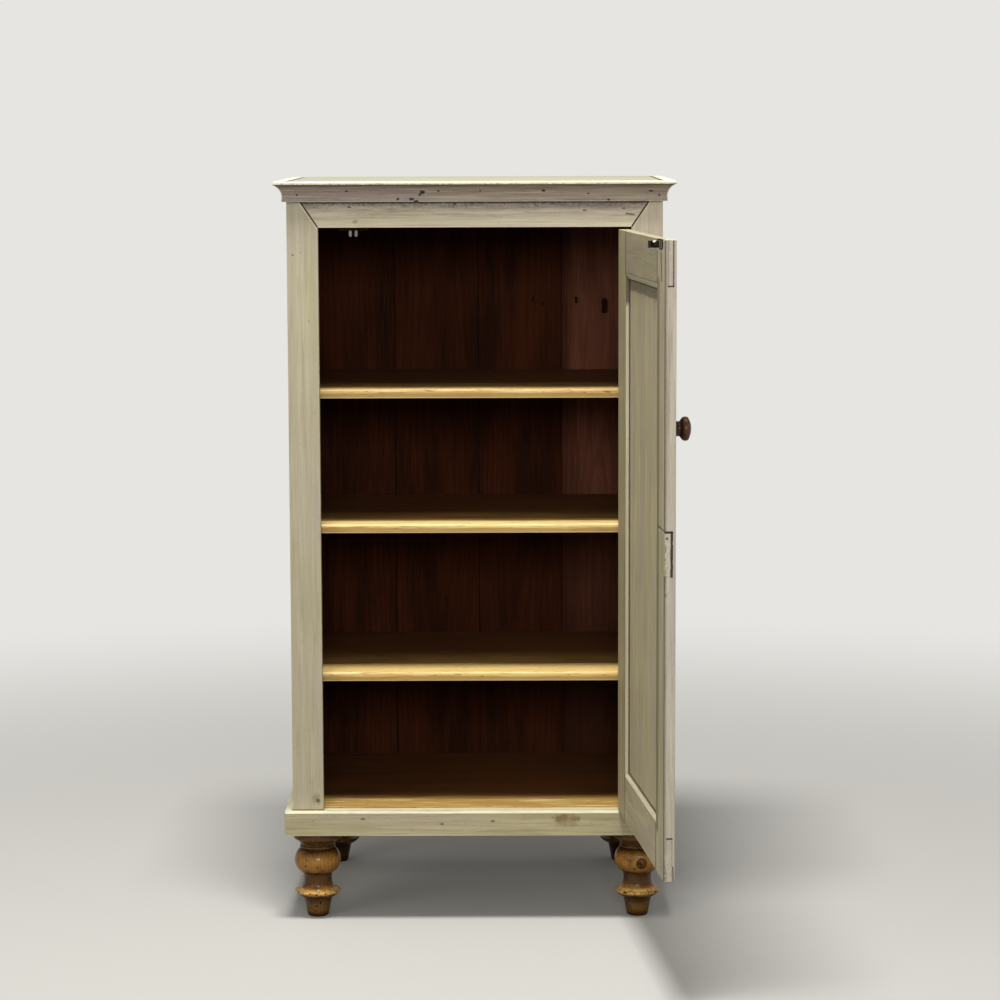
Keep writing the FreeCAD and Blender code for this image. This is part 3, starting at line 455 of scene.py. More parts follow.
# %% Shelf pine, yellow at the front and brown towards the back
def shelf_pine(node, pale_and_lit_depth, worn_depth, clean, deep):
    """Pale to 'pale_and_lit_depth' behind the front edge, worn to 'worn_depth', brown behind.
    The pale strip is partly painted light, and the brown partly painted shade.
    """
    board = Board("shelf_pine_" + node, node, "x")
    rings, fibres = pine_figure(board)
    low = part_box(node)[0]
    pale, worn, brown = pale_worn_and_brown(board, clean, deep, rings, fibres)
    ragged = board.wavering(1, -SHELF_RAGGED_MM, 16, 110, 4.0)
    start = low.y - SHELF_RAGGED_MM / 2 * MM
    # The pale front strip is partly painted light, and the brown towards the back partly painted
    # shade.
    colour = board.lay(pale, worn, ragged, start + pale_and_lit_depth * MM,
                       start + (pale_and_lit_depth + SHELF_FADE_MM) * MM)
    colour = board.lay(colour, brown, ragged, start + worn_depth * 0.5 * MM,
                       start + worn_depth * MM)
    band = board.wavering(2, -9, 5, 130, 4.0, 0.6)
    dulled = add(board.tree, RANGE, band, low.z + 3 * MM, low.z + 6 * MM, 1.0, 0.0)
    front = add(board.tree, RANGE, board.xyz[1], low.y + 0.8 * MM, low.y + 1.6 * MM, 1.0, 0.0)
    dulled = add(board.tree, MATH, dulled, front, operation="MULTIPLY")
    colour = board.lay(colour, "#A27A38", dulled, 0.0, 1.0, 0.75)
    colour = board.lay(colour, "#EBD69C", board.xyz[2], low.z + 2.0 * MM, low.z + 1.0 * MM, 0.7)
    colour = board.lay(colour, "#3A1D0C", knots(board, 12, 210), 0.0, 1.0, 0.9)
    colour = board.lay(colour, "#3A1D0C", knots(board, 5, 74), 0.0, 1.0, 0.8)
    height = add(board.tree, MATH, rings, -0.5, fibres, operation="MULTIPLY_ADD")
    return board.finish(colour, height, 0.25, 0.5, specular=0.35)


SHELVES = {            # depths of the pale and the worn part in millimetres, pale and deep colour
    "shelf_lower": (80, 240, "#EACA7E", "#D4A555"),
    "shelf_middle": (38, 200, "#F0D088", "#DAAC5C"),
    "shelf_upper": (22, 170, "#D6B674", "#C0924A"),
    "bottom_board": (56, 120, "#B08D4A", "#986E31")}
for name, values in SHELVES.items():
    dress(name, shelf_pine(name, *values))
print("shelf pine on", len(SHELVES), "nodes")

# %% [markdown]
# ## Brushed and worn paint
# The outside has one thin coat of grey-beige paint, brushed along each board and rubbed down.
# Its tone changes in long streaks, the edges are worn to a paler ground, the corners are darker
# with dirt and with painted shade, and here and there a speck is chipped to dark old wood. The
# Bevel node finds the edges of a board by comparing a rounded normal with the true one, and
# ambient occlusion finds the corners, so both follow every board without a map. Painting each
# board by hand would look the same, but would have to be done again for every change of size.

# %% Paint tones: ground, pale streak, dark streak, lilac cast, green cast, worn edge
TONES = {
    "stile": ("#B3A98B", "#C3BA9D", "#998D72", "#B3A598", "#ACA580", "#DAD3B0"),
    # The right stile's paint is drawn lighter than the left's: painted light, where less lamp light
    # reaches it.
    "lit right stile": ("#C6B89E", "#D6CAAF", "#A79983", "#C9B7AA", "#C0B396", "#E2DABC"),
    "head": ("#D0C4A7", "#E0D5B8", "#A99B83", "#C9B8AB", "#CBBF9B", "#E6DEC0"),
    "cornice": ("#9A8C7B", "#B7A997", "#6F6052", "#9C8B84", "#9E9278", "#EDE8CB"),
    "top": ("#A9A68D", "#B9B69B", "#938D75", "#A8A092", "#A8A685", "#DAD6B8"),
    "sill": ("#D3C9A2", "#E3DAB6", "#AC9D76", "#CFC0A2", "#CBC196", "#ECE5C4"),
    "plinth": ("#B3A67F", "#C9BE98", "#887B5B", "#B3A48F", "#A8A075", "#E3DFBF"),
    "door": ("#C2B796", "#D5CAA5", "#A19572", "#BEB09D", "#BAB283", "#E2DCBC"),
    "rail": ("#AA9F81", "#BCB291", "#897E63", "#A69A89", "#A19A74", "#DDD6B4"),
    "hinge stile": ("#B4A882", "#C6BB94", "#958963", "#B4A68D", "#ADA477", "#DED7B4"),
    "panel": ("#CABF99", "#DDD2AA", "#A79B7A", "#BDAE9E", "#BDB586", "#DDD7B6"),
    "bead": ("#CFC7A6", "#DDD6B7", "#B0A585", "#C6BAA8", "#C2BA96", "#F0ECD0"),
    # A lighter copy of the bead paint: painted light on the beads at the top and on the lock side.
    "lit bead": ("#EAE3C2", "#F4EFD2", "#CBC19C", "#E2D8BC", "#DED7B0", "#FBF8E2"),
    "edge": ("#C9BEA8", "#DAD0BC", "#A89C88", "#CBB9B0", "#C2B9A0", "#E8E2CE"),
}
EDGE_MM = 2.4             # how far the wear reaches from an edge
NOOK_MM = 12.0            # how far the dirt and painted shade spread out of a corner
BRISTLE_MM = 2.6          # a bristle's mark, drawn wider than a real one so that it shows
CHIPPED = "#3A2A1D"       # old wood and dirt seen through a chip
CHIPS_PER_M = 34.0        # places in a metre where a chip may be
SPECKED = 0.6             # how strongly the chips show in the parts that have them


def brush_marks(board, tone):
    """Colour and height of the brushed coat, before wear and dirt."""
    ground, pale, dark, lilac, green, _ = TONES[tone]
    fine = board.streaks(BRISTLE_MM, 120, 5.0, 0.65)
    colour = board.layers(ground, [
        (pale, board.streaks(20, 420), 0.42, 0.66, 0.8),
        (dark, board.streaks(11, 240, 5.0, 0.65), 0.5, 0.7, 0.7),
        (lilac, board.streaks(60, 300), 0.42, 0.66, 0.6),
        (green, board.streaks(80, 260), 0.48, 0.68, 0.6),
        (dark, fine, 0.48, 0.7, 0.55),
        (pale, board.streaks(4.2, 160, 4.0, 0.6), 0.52, 0.7, 0.6),
        (dark, board.clouds(7, 5.0, 0.7), 0.56, 0.72, 0.4)])
    return colour, fine


def wear_dirt_and_shade(board, colour, height, worn):
    """Rubbed edges, corners darkened by dirt and painted shade, and chipped specks."""
    tree = board.tree
    edge = add(tree, MATH, board.clouds(9, 5.0, 0.65), 0.16, edge_closeness(board, EDGE_MM, 6),
               operation="MULTIPLY_ADD")
    colour = board.lay(colour, worn, edge, 1.04, 0.93, 0.8)
    # Corners go darker: dirt, and painted shade where little light gets in.
    nook = dirt_and_shade_in_nooks(board, NOOK_MM, 6, 16, -0.35)
    colour = board.lay(colour, "#4B3D2E", nook, 0.66, 0.12, 0.75)
    cells = add(tree, CELLS, board.along, CHIPS_PER_M)
    ragged = add(tree, MATH, board.clouds(3, 4.0), 0.07, cells, operation="MULTIPLY_ADD")
    where = add(tree, RANGE, board.clouds(150, 2.0), 0.5, 0.62, 0.0, SPECKED)
    chips = add(tree, RANGE, ragged, 0.115, 0.09, interpolation_type="SMOOTHSTEP")
    chips = add(tree, MATH, chips, where, operation="MULTIPLY")
    colour = board.lay(colour, CHIPPED, chips, 0.0, 1.0, 0.85)
    height = add(tree, MATH, chips, -1.5, height, operation="MULTIPLY_ADD")
    return colour, height


print("paint in", len(TONES), "tones")

# %% [markdown]
# ## Marks with a place of their own
# Marks that belong to one place, such as the open mitre of the face frame or the outline of a
# through tenon, are lines between two points. A dark line is the gap, and a paler one beside it
# is the paint that has rubbed off its edge. Cut grooves would need a mesh for each board. Lines
# in the material cost nothing, and are as sharp as they need to be.


# %% Seams, stains and the marks of the face frame
def seam(board, colour, start, end, width=1.4, shade="#2A1D14", amount=0.95, ragged=0.9):
    """A dark joint line, drawn about twice as wide as the real gap so that it shows."""
    gap = near_line(board, start, end, ragged)
    return board.lay(colour, shade, gap, width * MM, width * 0.45 * MM, amount)


def stain(board, colour, centre, size, shade, amount, stretch=1.0, reach=(1, 1, 1)):
    """A ragged stain so many millimetres across, drawn out along X."""
    half = Vector((size * (stretch - 1) * MM / 2, 0, 0))
    spread = near_line(board, centre - half, centre + half, size * 0.9, reach)
    return board.lay(colour, shade, spread, size * 0.55 * MM, size * 0.2 * MM, amount)


def mitre_seams(board, colour):
    """The open mitres of the face frame, each with a rubbed edge below it."""
    for side in (-1, 1):
        inner = Vector((side * OPENING_HALF, FRONT_Y, OPENING_TOP_Z))
        outer = Vector((side * HALF_W, FRONT_Y, TOP_Z))
        rubbed = Vector((0, 0, -3.2 * MM))
        colour = seam(board, colour, inner + rubbed, outer + rubbed, 2.0, "#DAD2B4", 0.8)
        colour = seam(board, colour, inner, outer, 1.9)
    return colour


def frame_marks(board, colour):
    """The left stile has a knot near its foot, and stands on the plinth with an open joint."""
    colour = mitre_seams(board, colour)
    colour = stain(board, colour, spot(-284, 0, 218), 20, "#7D6A4E", 0.5)
    colour = stain(board, colour, spot(-281, 0, 215), 9, "#4C3926", 0.75)
    foot = near_line(board, spot(-330, 0, SILL_Z / MM), spot(330, 0, SILL_Z / MM), 0.8)
    return board.lay(colour, "#3A2B1E", foot, 2.0 * MM, 0.7 * MM, 0.85)


HEAD_CRACKS = [(262, 1246, 275, 1244), (256, 1255, 259, 1255), (-219, 1259, -214, 1258),
               (188, 1252, 192, 1252)]


def head_marks(board, colour):
    """The upper half of the head rail is darker and mottled, with a dark line under the cornice."""
    low = OPENING_TOP_Z
    high = board.wavering(2, 60, 9, 90, 5.0, 0.7)
    colour = board.lay(colour, "#85776B", high, low + 44 * MM, low + 78 * MM, 0.95)
    spotted = board.wavering(2, 80, 4, 4, 6.0, 0.8)
    colour = board.lay(colour, "#4A382C", spotted, low + 74 * MM, low + 92 * MM, 0.75)
    for x0, z0, x1, z1 in HEAD_CRACKS:
        colour = seam(board, colour, spot(x0, 0, z0), spot(x1, 0, z1), 1.8, "#4A382C", 0.85)
    colour = board.lay(colour, "#8A7766", board.streaks(2.4, 55, 5.0, 0.7), 0.6, 0.74, 0.6)
    colour = mitre_seams(board, colour)
    colour = stain(board, colour, spot(-206, 0, 1233), 8, "#83704F", 0.6, 1.4)
    colour = stain(board, colour, spot(-34, 0, 1263), 4, "#1F150E", 0.9, 1.6)
    colour = board.lay(colour, "#E2DCC0", board.xyz[2], low + 2.6 * MM, low + 1.0 * MM, 0.7)
    under = near_line(board, Vector((-HALF_W, FRONT_Y, CORNICE_Z)),
                      Vector((HALF_W, FRONT_Y, CORNICE_Z)), 4.0)
    return board.lay(colour, "#271C15", under, 4.6 * MM, 1.4 * MM, 0.9)


print("cracks in the head rail", len(HEAD_CRACKS))

# %% [markdown]
# The mouldings take the knocks. The lip of the cornice and the bevel of the plinth are rubbed
# pale, and painted nearly white as a highlight where they face the light from above. The hollow
# under the lip has dark chips and brown streaks. Noise alone would spread them evenly. Real ones
# lie where they happened to fall, so they are listed one by one.

# %% Marks of the cornice, the top and the plinth
TOP_JOINT_MM = 470        # length of the open joint down each side of the top
CORNICE_OUT_MM = 23       # how far the cornice stands out
PLINTH_OUT_MM = 14
# Each chip: its place and size in millimetres, and how many times longer than high it is.
CORNICE_CHIPS = [(-90, -9, 1284, 7, 1.5), (-94, -9, 1280, 5, 1.2), (-132, -8, 1272, 5, 1.4),
                 (-108, -8, 1272, 7, 1.6), (-101, -8, 1268, 7, 1.5), (-62, -9, 1286, 4, 1.4),
                 (10, -10, 1286, 4, 1.0), (119, -12, 1286, 4.5, 1.5), (196, -8, 1281, 3.5, 1.3),
                 (231, -8, 1270, 4, 1.4), (318, -9, 1278, 4.5, 1.3), (304, -9, 1285, 3.5, 2.4),
                 (-306, -8, 1280, 3, 1.2), (-220, -8, 1286, 3, 2.0)]


def cornice_marks(board, colour):
    """Brown streaks under the lip, dark chips, and the lip painted nearly white: rubbed, and a
    painted highlight.
    """
    under = board.wavering(2, 22, 3, 70, 5.0, 0.7)
    colour = board.lay(colour, "#64574B", under, TOP_Z + 1 * MM, TOP_Z + 6 * MM, 0.7)
    colour = board.lay(colour, "#5B4638", board.streaks(2.2, 60, 5.0, 0.7), 0.56, 0.72, 0.75)
    colour = board.lay(colour, "#C3B4A4", board.streaks(3.4, 90, 4.0, 0.6), 0.54, 0.7, 0.55)
    for x, y, z, size, stretch in CORNICE_CHIPS:
        colour = stain(board, colour, spot(x, y, z), size, "#1A110B", 0.97, stretch, (1, 0, 1))
    # The lip's near-white is rubbed paint and also a painted highlight.
    lip = board.wavering(2, 6, 6, 6, 4.0)
    return board.lay(colour, "#E6E1C4", lip, TOP_Z - 3.5 * MM, TOP_Z + 0.5 * MM, 0.95)


def top_marks(board, colour):
    """The joints between the top board and the mouldings have opened."""
    for side in (-1, 1):
        corner = Vector((side * HALF_W, FRONT_Y, TOP_Z))
        back = Vector((0, TOP_JOINT_MM, 0)) * MM
        mitre = Vector((side * CORNICE_OUT_MM, -CORNICE_OUT_MM, 0)) * MM
        colour = seam(board, colour, corner, corner + back, 5.0, "#4A3B28", 0.9)
        colour = seam(board, colour, corner, corner + mitre, 2.0, "#4A3B28", 0.8)
    return colour


PLINTH_STAINS = [(158, 184, 30, "#937F55"), (149, 186, 15, "#7A653F"),
                 (173, 185, 12, "#856F47"), (-62, 176, 5, "#6A5636"),
                 (28, 181, 5, "#6A5636"), (-201, 185, 6, "#5E4A30")]


def plinth_marks(board, colour):
    """Brown stains in the face, and the bevel rubbed pale and painted nearly white as a highlight.
    """
    for x, z, size, shade in PLINTH_STAINS:
        colour = stain(board, colour, spot(x, -PLINTH_OUT_MM, z), size, shade, 0.7, 1.7)
    # The bevel's near-white is rubbed paint and also a painted highlight.
    bright = board.layers("#DEDAB9", [
        ("#A98F60", board.streaks(3, 30, 5.0, 0.7), 0.55, 0.7, 0.85),
        ("#BDB48D", board.streaks(4, 70, 4.0, 0.6), 0.46, 0.66, 0.75)])
    edge = board.wavering(2, 1.2, 7, 7, 4.0)
    colour = board.lay(colour, bright, edge, SILL_Z - 3.4 * MM, SILL_Z - 2.2 * MM, 0.95)
    return board.lay(colour, "#3A2B1C", board.xyz[2], SILL_Z - 0.45 * MM, SILL_Z - 0.15 * MM, 0.8)


def moulding_marks(board, colour):
    """A cornice's marks, and its joint with the top board."""
    return top_marks(board, cornice_marks(board, colour))


print("chips in the cornice", len(CORNICE_CHIPS), "stains in the plinth", len(PLINTH_STAINS))

# %% [markdown]
# Only the outside was painted. The inner faces of the sides, the back of the face frame and the
# underside of the top are the same boards left bare. Each is found by where it lies, so one
# material can hold both the paint and the bare wood of its board.


# %% Which faces of a painted board are bare
def bare_between_sides(board):
    """1 on the inner faces of the side boards."""
    x = add(board.tree, MATH, board.xyz[0], operation="ABSOLUTE")
    return add(board.tree, RANGE, x, INNER_HALF + 0.2 * MM, INNER_HALF + 0.6 * MM, 1.0, 0.0)


def bare_behind_frame(board):
    """1 on the back of the face frame."""
    return add(board.tree, RANGE, board.xyz[1], FRAME_BACK_Y - 0.6 * MM, FRAME_BACK_Y - 0.2 * MM)


def bare_under_top(board):
    """1 on the underside of the top board."""
    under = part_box("top_board")[0].z
    return add(board.tree, RANGE, board.xyz[2], under + 0.2 * MM, under + 0.6 * MM, 1.0, 0.0)


print("bare between the sides, behind the frame and under the top")

# %% [markdown]
# Now the layers come together in one function: the brushed coat, wear and dirt, the marks of the
# board, and its bare faces. A table says which tone, direction and marks each board has, so a
# new board is one more line.


# %% Painted boards
def painted(node, tone, axis, door=False, bare=None, marks=None):
    """Brush marks, then wear, then the marks of this board; bare faces stay old pine."""
    board = Board("painted_" + node, node, axis, door)
    colour, height = brush_marks(board, tone)
    colour, height = wear_dirt_and_shade(board, colour, height, TONES[tone][5])
    if marks is not None:
        colour = marks(board, colour)
    if bare is not None:
        where = bare(board)
        wood, wood_height = aged_pine_layers(board)
        colour = board.lay(colour, wood, where, 0.0, 1.0)
        height = add(board.tree, MIX, where, height, wood_height)
    rough = add(board.tree, RANGE, board.clouds(40), 0.3, 0.7, 0.48, 0.66)
    return board.finish(colour, height, 0.22, rough)


CARCASS_PAINT = [
    ("side_left", "stile", "z", bare_between_sides, None),
    ("side_right", "stile", "z", bare_between_sides, None),
    ("frame_stile_left", "stile", "z", bare_behind_frame, frame_marks),
    ("frame_stile_right", "lit right stile", "z", bare_behind_frame, mitre_seams),
    ("head_rail", "head", "x", bare_behind_frame, head_marks),
    ("bottom_rail", "sill", "x", bare_behind_frame, None),
    ("top_board", "top", "x", bare_under_top, top_marks),
    ("cornice_front", "cornice", "x", None, moulding_marks),
    ("cornice_left", "cornice", "y", None, moulding_marks),
    ("cornice_right", "cornice", "y", None, moulding_marks),
    ("plinth_front", "plinth", "x", None, plinth_marks),
    ("plinth_left", "plinth", "y", None, plinth_marks),
    ("plinth_right", "plinth", "y", None, plinth_marks),
]
for name, tone, axis, bare, marks in CARCASS_PAINT:
    dress(name, painted(name, tone, axis, False, bare, marks))
print("painted", len(CARCASS_PAINT), "nodes of the carcass")

# %% [markdown]
# ## The door
# The door's stiles are tenoned right through, so the ends of the tenons show on its free edge.
# An old lock was taken out and its mortise filled with a let-in piece, and the wood has broken
# away round the strike of the catch. All these marks are placed on the shut door. The material
# turns its coordinates back by the angle that the door stands open, so they stay on their boards
# however far it swings.

# %% Sizes of the door, shut
DOOR_GAP_MM = 2.0
DOOR_THICK_MM = 17.5
LOCK_STILE_MM = 88.0      # from the free edge to the beads
HINGE_STILE_MM = 89.5     # from the beads to the edge of the opening
BEAD_MM = 9.5
TENON_MM = (4.75, 12.75)  # where the tenons lie in the thickness of the door
TENON_SHOULDER_MM = 5.5   # how much narrower than its rail the lower tenon is
STRIKE_MM = 60            # from the edge of the opening to the middle of the strike
DOOR_LOW_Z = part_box("door_lock_stile")[0].z
DOOR_HIGH_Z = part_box("door_lock_stile")[1].z
DOOR_X0 = -OPENING_HALF + DOOR_GAP_MM * MM
SIGHT_LOW = (DOOR_X0 + LOCK_STILE_MM * MM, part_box("door_bottom_rail")[1].z)
SIGHT_HIGH = (OPENING_HALF - HINGE_STILE_MM * MM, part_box("door_top_rail")[0].z)
FIELD_LOW = tuple(value + BEAD_MM * MM for value in SIGHT_LOW)
FIELD_HIGH = tuple(value - BEAD_MM * MM for value in SIGHT_HIGH)
INSIDE_Y = FRONT_Y + DOOR_THICK_MM * MM
TENON_LOW_TOP_Z = SIGHT_LOW[1] - TENON_SHOULDER_MM * MM
PATCH_LOW_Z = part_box("lock_patch")[0].z
PATCH_HIGH_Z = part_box("lock_patch")[1].z
STRIKE_X = -OPENING_HALF + STRIKE_MM * MM


def on_edge(y, z):
    """A point of the door's free edge."""
    return Vector((DOOR_X0, y, z))


def on_inside(x, z):
    """A point of the door's inner face."""
    return Vector((x, INSIDE_Y, z))


print("door", round(DOOR_HIGH_Z - DOOR_LOW_Z, 4), "high, beads", BEAD_MM, "mm wide")

# %% [markdown]
# Old paint cracks where two boards meet, because the wood moves under it. So each joint of the
# door is a thin dark line, and the ends of the tenons are small outlines on the free edge. The
# boards themselves touch, and a gap as narrow as the real one would hardly show.


# %% Joints and tenons of the door
def tenon_lines(board, colour):
    """The outline of the through tenons on the free edge."""
    y0, y1 = (FRONT_Y + t * MM for t in TENON_MM)
    for inner, outer, clear in ((SIGHT_HIGH[1], DOOR_HIGH_Z, 1.0),
                                (TENON_LOW_TOP_Z, DOOR_LOW_Z, 0.35)):
        for y, amount in ((y0, 0.85 * clear), (y1, 0.35 * clear)):
            colour = seam(board, colour, on_edge(y, inner), on_edge(y, outer), 1.6, "#43352A",
                          amount)
        colour = seam(board, colour, on_edge(y0, inner), on_edge(y1, inner), 1.8)
    return colour


def joint_lines(board, colour, width=2.6):
    """Dirt along the beads and in the joints between stiles and rails."""
    edge = near_outline(board, SIGHT_LOW, SIGHT_HIGH)
    colour = board.lay(colour, "#43372A", edge, width * MM, width * 0.3 * MM, 0.35)
    for x in (SIGHT_LOW[0], SIGHT_HIGH[0]):
        for z0, z1 in ((DOOR_LOW_Z, SIGHT_LOW[1]), (SIGHT_HIGH[1], DOOR_HIGH_Z)):
            colour = seam(board, colour, *upright(x, INSIDE_Y, z0, z1), 5.0, "#4E412F", 0.8)
    return tenon_lines(board, colour)


def stile_joint_lines(board, colour):
    """The stiles are seen along their faces, so their dirt is drawn broader to show."""
    return joint_lines(board, colour, 8.0)


def on_free_edge(board, colour):
    """The paler paint of the free edge, scratched along its length. The scratches are drawn
    wider than real ones so that they show."""
    reach = add(board.tree, MATH, board.xyz[0], -1.0, operation="MULTIPLY")
    edge_colour, _ = brush_marks(board, "edge")
    scratch = board.streaks(1.3, 60, 5.0, 0.7)
    edge_colour = board.lay(edge_colour, "#8F826C", scratch, 0.58, 0.7, 0.7)
    return board.lay(colour, edge_colour, reach, -DOOR_X0 - 1.0 * MM, -DOOR_X0 - 0.5 * MM)


def rail_marks(board, colour):
    """A rail's ends show on the free edge as its tenons."""
    return joint_lines(board, on_free_edge(board, colour))


print("tenons", TENON_MM[1] - TENON_MM[0], "mm thick")

# %% [markdown]
# Broken wood has no clean edge. It splinters along the grain, pale where it is fresh and dark
# where dirt has settled in it. Fine streaks of noise, raised near the arris, give both: the
# highest values are dark hollows, and those just below them are pale splinters.

# %% Broken and torn places of the door
TORN_MM = 12              # how far splinters reach from an arris
PATCH_GAP_MM = 6.5        # how deep in the door's edge the gap beside the let-in piece runs
STRIKE_HOLE = Vector((24, 0, 0)) * MM   # half the length of the broken place


def torn_arris(board, colour, low, high):
    """Splintered wood along the arris between two heights in millimetres, dark in its hollows."""
    tree, z, low_z, high_z = board.tree, board.xyz[2], low * MM, high * MM
    near = near_line(board, *upright(DOOR_X0, INSIDE_Y, low_z, high_z))
    near = add(tree, RANGE, near, TORN_MM * MM, 1 * MM)
    above = add(tree, RANGE, z, low_z, low_z + TORN_MM * MM)
    below = add(tree, RANGE, z, high_z - TORN_MM * MM, high_z, 1.0, 0.0)
    where = add(tree, MATH, above, below, operation="MULTIPLY")
    where = add(tree, MATH, where, near, operation="MULTIPLY")
    hurt = add(tree, MATH, where, 0.3, board.streaks(1.6, 9, 6.0, 0.8), operation="MULTIPLY_ADD")
    colour = board.lay(colour, "#DCD2BA", hurt, 0.6, 0.7, 0.6)
    return board.lay(colour, "#4A3A2A", hurt, 0.76, 0.86, 0.85)


def strike_hole(board, colour):
    """Broken wood round the strike, dark inside and pale at its torn edge."""
    middle = on_inside(STRIKE_X, DOOR_HIGH_Z - 7 * MM)
    torn = near_line(board, middle - STRIKE_HOLE, middle + STRIKE_HOLE, 9.0)
    colour = board.lay(colour, "#E4DDC0", torn, 14 * MM, 11 * MM, 0.6)
    return board.lay(colour, "#17100B", torn, 11 * MM, 7 * MM)


def patch_gap(board, colour):
    """The dark gap round the piece let in where a lock was."""
    y = FRONT_Y + PATCH_GAP_MM * MM
    corner = on_edge(y, PATCH_HIGH_Z)
    colour = seam(board, colour, on_edge(y, PATCH_LOW_Z), corner, 3.0, "#1C130C", 0.95, 3.0)
    return seam(board, colour, corner, on_edge(INSIDE_Y, PATCH_HIGH_Z), 2.6, "#1C130C")


print("broken place round the strike", round(2 * STRIKE_HOLE.x / MM), "mm long")

# %% Marks of the stiles, the top rail and the let-in piece
SPLITS = [(2.5, 200, 224), (9.5, 200, 232), (13.5, 200, 217)]   # depth, foot and end, in mm
TORN_STILE = [(640, 735), (190, 250)]                           # heights in mm
TORN_PATCH = (676, 752)


def lock_stile_marks(board, colour):
    """The free edge is split at its foot and dark along its arris."""
    colour = stile_joint_lines(board, on_free_edge(board, colour))
    beside = near_line(board, *upright(SIGHT_LOW[0] - 14 * MM, INSIDE_Y, SIGHT_LOW[1],
                                       SIGHT_HIGH[1]), 3.0)
    colour = board.lay(colour, "#7B6F54", beside, 15 * MM, 8 * MM, 0.7)
    for y, z0, z1 in SPLITS:
        colour = seam(board, colour, spot(DOOR_X0 / MM, y, z0), spot(DOOR_X0 / MM, y + 0.6, z1),
                      1.2, "#33261A", 0.9)
    for low, high in TORN_STILE:
        colour = torn_arris(board, colour, low, high)
    colour = seam(board, colour, *upright(DOOR_X0 + 4 * MM, INSIDE_Y, DOOR_LOW_Z, DOOR_HIGH_Z),
                  6.0, "#4E422E", 0.8)
    colour = seam(board, colour, on_inside(DOOR_X0 + 48 * MM, DOOR_HIGH_Z - 12 * MM),
                  on_inside(DOOR_X0 + 40 * MM, SIGHT_HIGH[1] + 8 * MM), 6.0, "#3A301F", 0.8)
    crack = on_inside(DOOR_X0, PATCH_HIGH_Z)
    colour = seam(board, colour, crack, crack + Vector((70, 0, 2)) * MM, 2.4, "#43352A", 0.85)
    return strike_hole(board, patch_gap(board, colour))


def top_rail_marks(board, colour):
    """A rail's marks, and the place broken by the strike."""
    return strike_hole(board, rail_marks(board, colour))


def patch_marks(board, colour):
    """The let-in piece is chipped along its arris and holds one rusty nail."""
    colour = patch_gap(board, on_free_edge(board, colour))
    colour = torn_arris(board, colour, *TORN_PATCH)
    nail = on_edge(FRONT_Y + 14 * MM, PATCH_HIGH_Z - 10 * MM)
    return stain(board, colour, nail, 4.5, "#5E3B20", 0.95)


print("splits", len(SPLITS), "torn places", len(TORN_STILE) + 1)

# %% [markdown]
# The beads hold the panel in its frame. Dirt gathers along them, and a cloth keeps only their
# middle clean. The distance from an upright rectangle marks all four of them at once, and the
# edges of the panel too.


# %% Marks of the panel and the beads
def panel_marks(board, colour):
    """Dirt against the beads, a painted shadow in grey under the top one, and a pale strip beside
    the lock bead that is a painted highlight.
    """
    # Painted shadow: a grey band that the bead at the top would cast on the panel.
    ragged = board.wavering(2, 12, 26, 26, 3.0)
    top = FIELD_HIGH[1] - 20 * MM
    colour = board.lay(colour, "#7E736C", ragged, top + 5 * MM, top + 9 * MM, 0.65)
    # Painted highlight: a pale strip on the panel beside the lock bead.
    beside = near_line(board, *upright(FIELD_LOW[0] + 14 * MM, INSIDE_Y - 7 * MM, FIELD_LOW[1],
                                       FIELD_HIGH[1]), 5.0)
    colour = board.lay(colour, "#DAD2AF", beside, 17 * MM, 10 * MM, 0.8)
    edge = near_outline(board, FIELD_LOW, FIELD_HIGH)
    return board.lay(colour, "#3F3427", edge, 3.0 * MM, 1.0 * MM, 0.85)


def bead_marks(board, colour):
    """The beads stay clean along their middle and dark along both edges."""
    for low, high, amount in ((SIGHT_LOW, SIGHT_HIGH, 0.5), (FIELD_LOW, FIELD_HIGH, 0.85)):
        edge = near_outline(board, low, high)
        colour = board.lay(colour, "#4A3D2B", edge, 1.5 * MM, 0.5 * MM, amount)
    return colour


def hinge_bead_marks(board, colour):
    """The paint is gone from the upper end of this bead."""
    top = SIGHT_HIGH[1] - 50 * MM
    ragged = board.wavering(2, 14, 8, 8, 4.0)
    colour = board.lay(colour, "#493A2A", ragged, top, top + 10 * MM, 0.85)
    return bead_marks(board, colour)


DOOR_PAINT = [
    ("door_hinge_stile", "hinge stile", "z", stile_joint_lines),
    ("door_lock_stile", "door", "z", lock_stile_marks),
    ("door_top_rail", "rail", "x", top_rail_marks),
    ("door_bottom_rail", "door", "x", rail_marks),
    ("door_panel", "panel", "z", panel_marks),
    ("door_bead_top", "lit bead", "x", bead_marks),
    ("door_bead_bottom", "bead", "x", bead_marks),
    ("door_bead_lock", "lit bead", "z", bead_marks),
    ("door_bead_hinge", "bead", "z", hinge_bead_marks),
    ("lock_patch", "door", "z", patch_marks),
]
for name, tone, axis, marks in DOOR_PAINT:
    dress(name, painted(name, tone, axis, True, None, marks))
print("painted", len(DOOR_PAINT), "nodes of the door")

# %% [markdown]
# ## Waxed turned wood
# The feet were turned from pine, stained honey-brown and waxed, and the knob from a darker
# wood. Wax polishes the full curves, and dirt and painted shade darken the grooves. A clear
# coat over the wood gives the small sharp highlights. The growth rings are circles about a heart
# that lies outside the turned piece, so they cross it as nearly straight upright lines. A ramp by
# height lays dirt where brushes and floor cloths never reach, and painted shade under the flange
# and the ball.

# %% Rings and knots of turned wood
TURNED_RING_MM = 5.5
TURNED_HEART_MM = 62.0
TURNED_WANDERS = (14.0, 14.0, 5.0)    # waves in a metre, across and along the piece
KNOT_LENGTH = Vector((0, 20, 0)) * MM


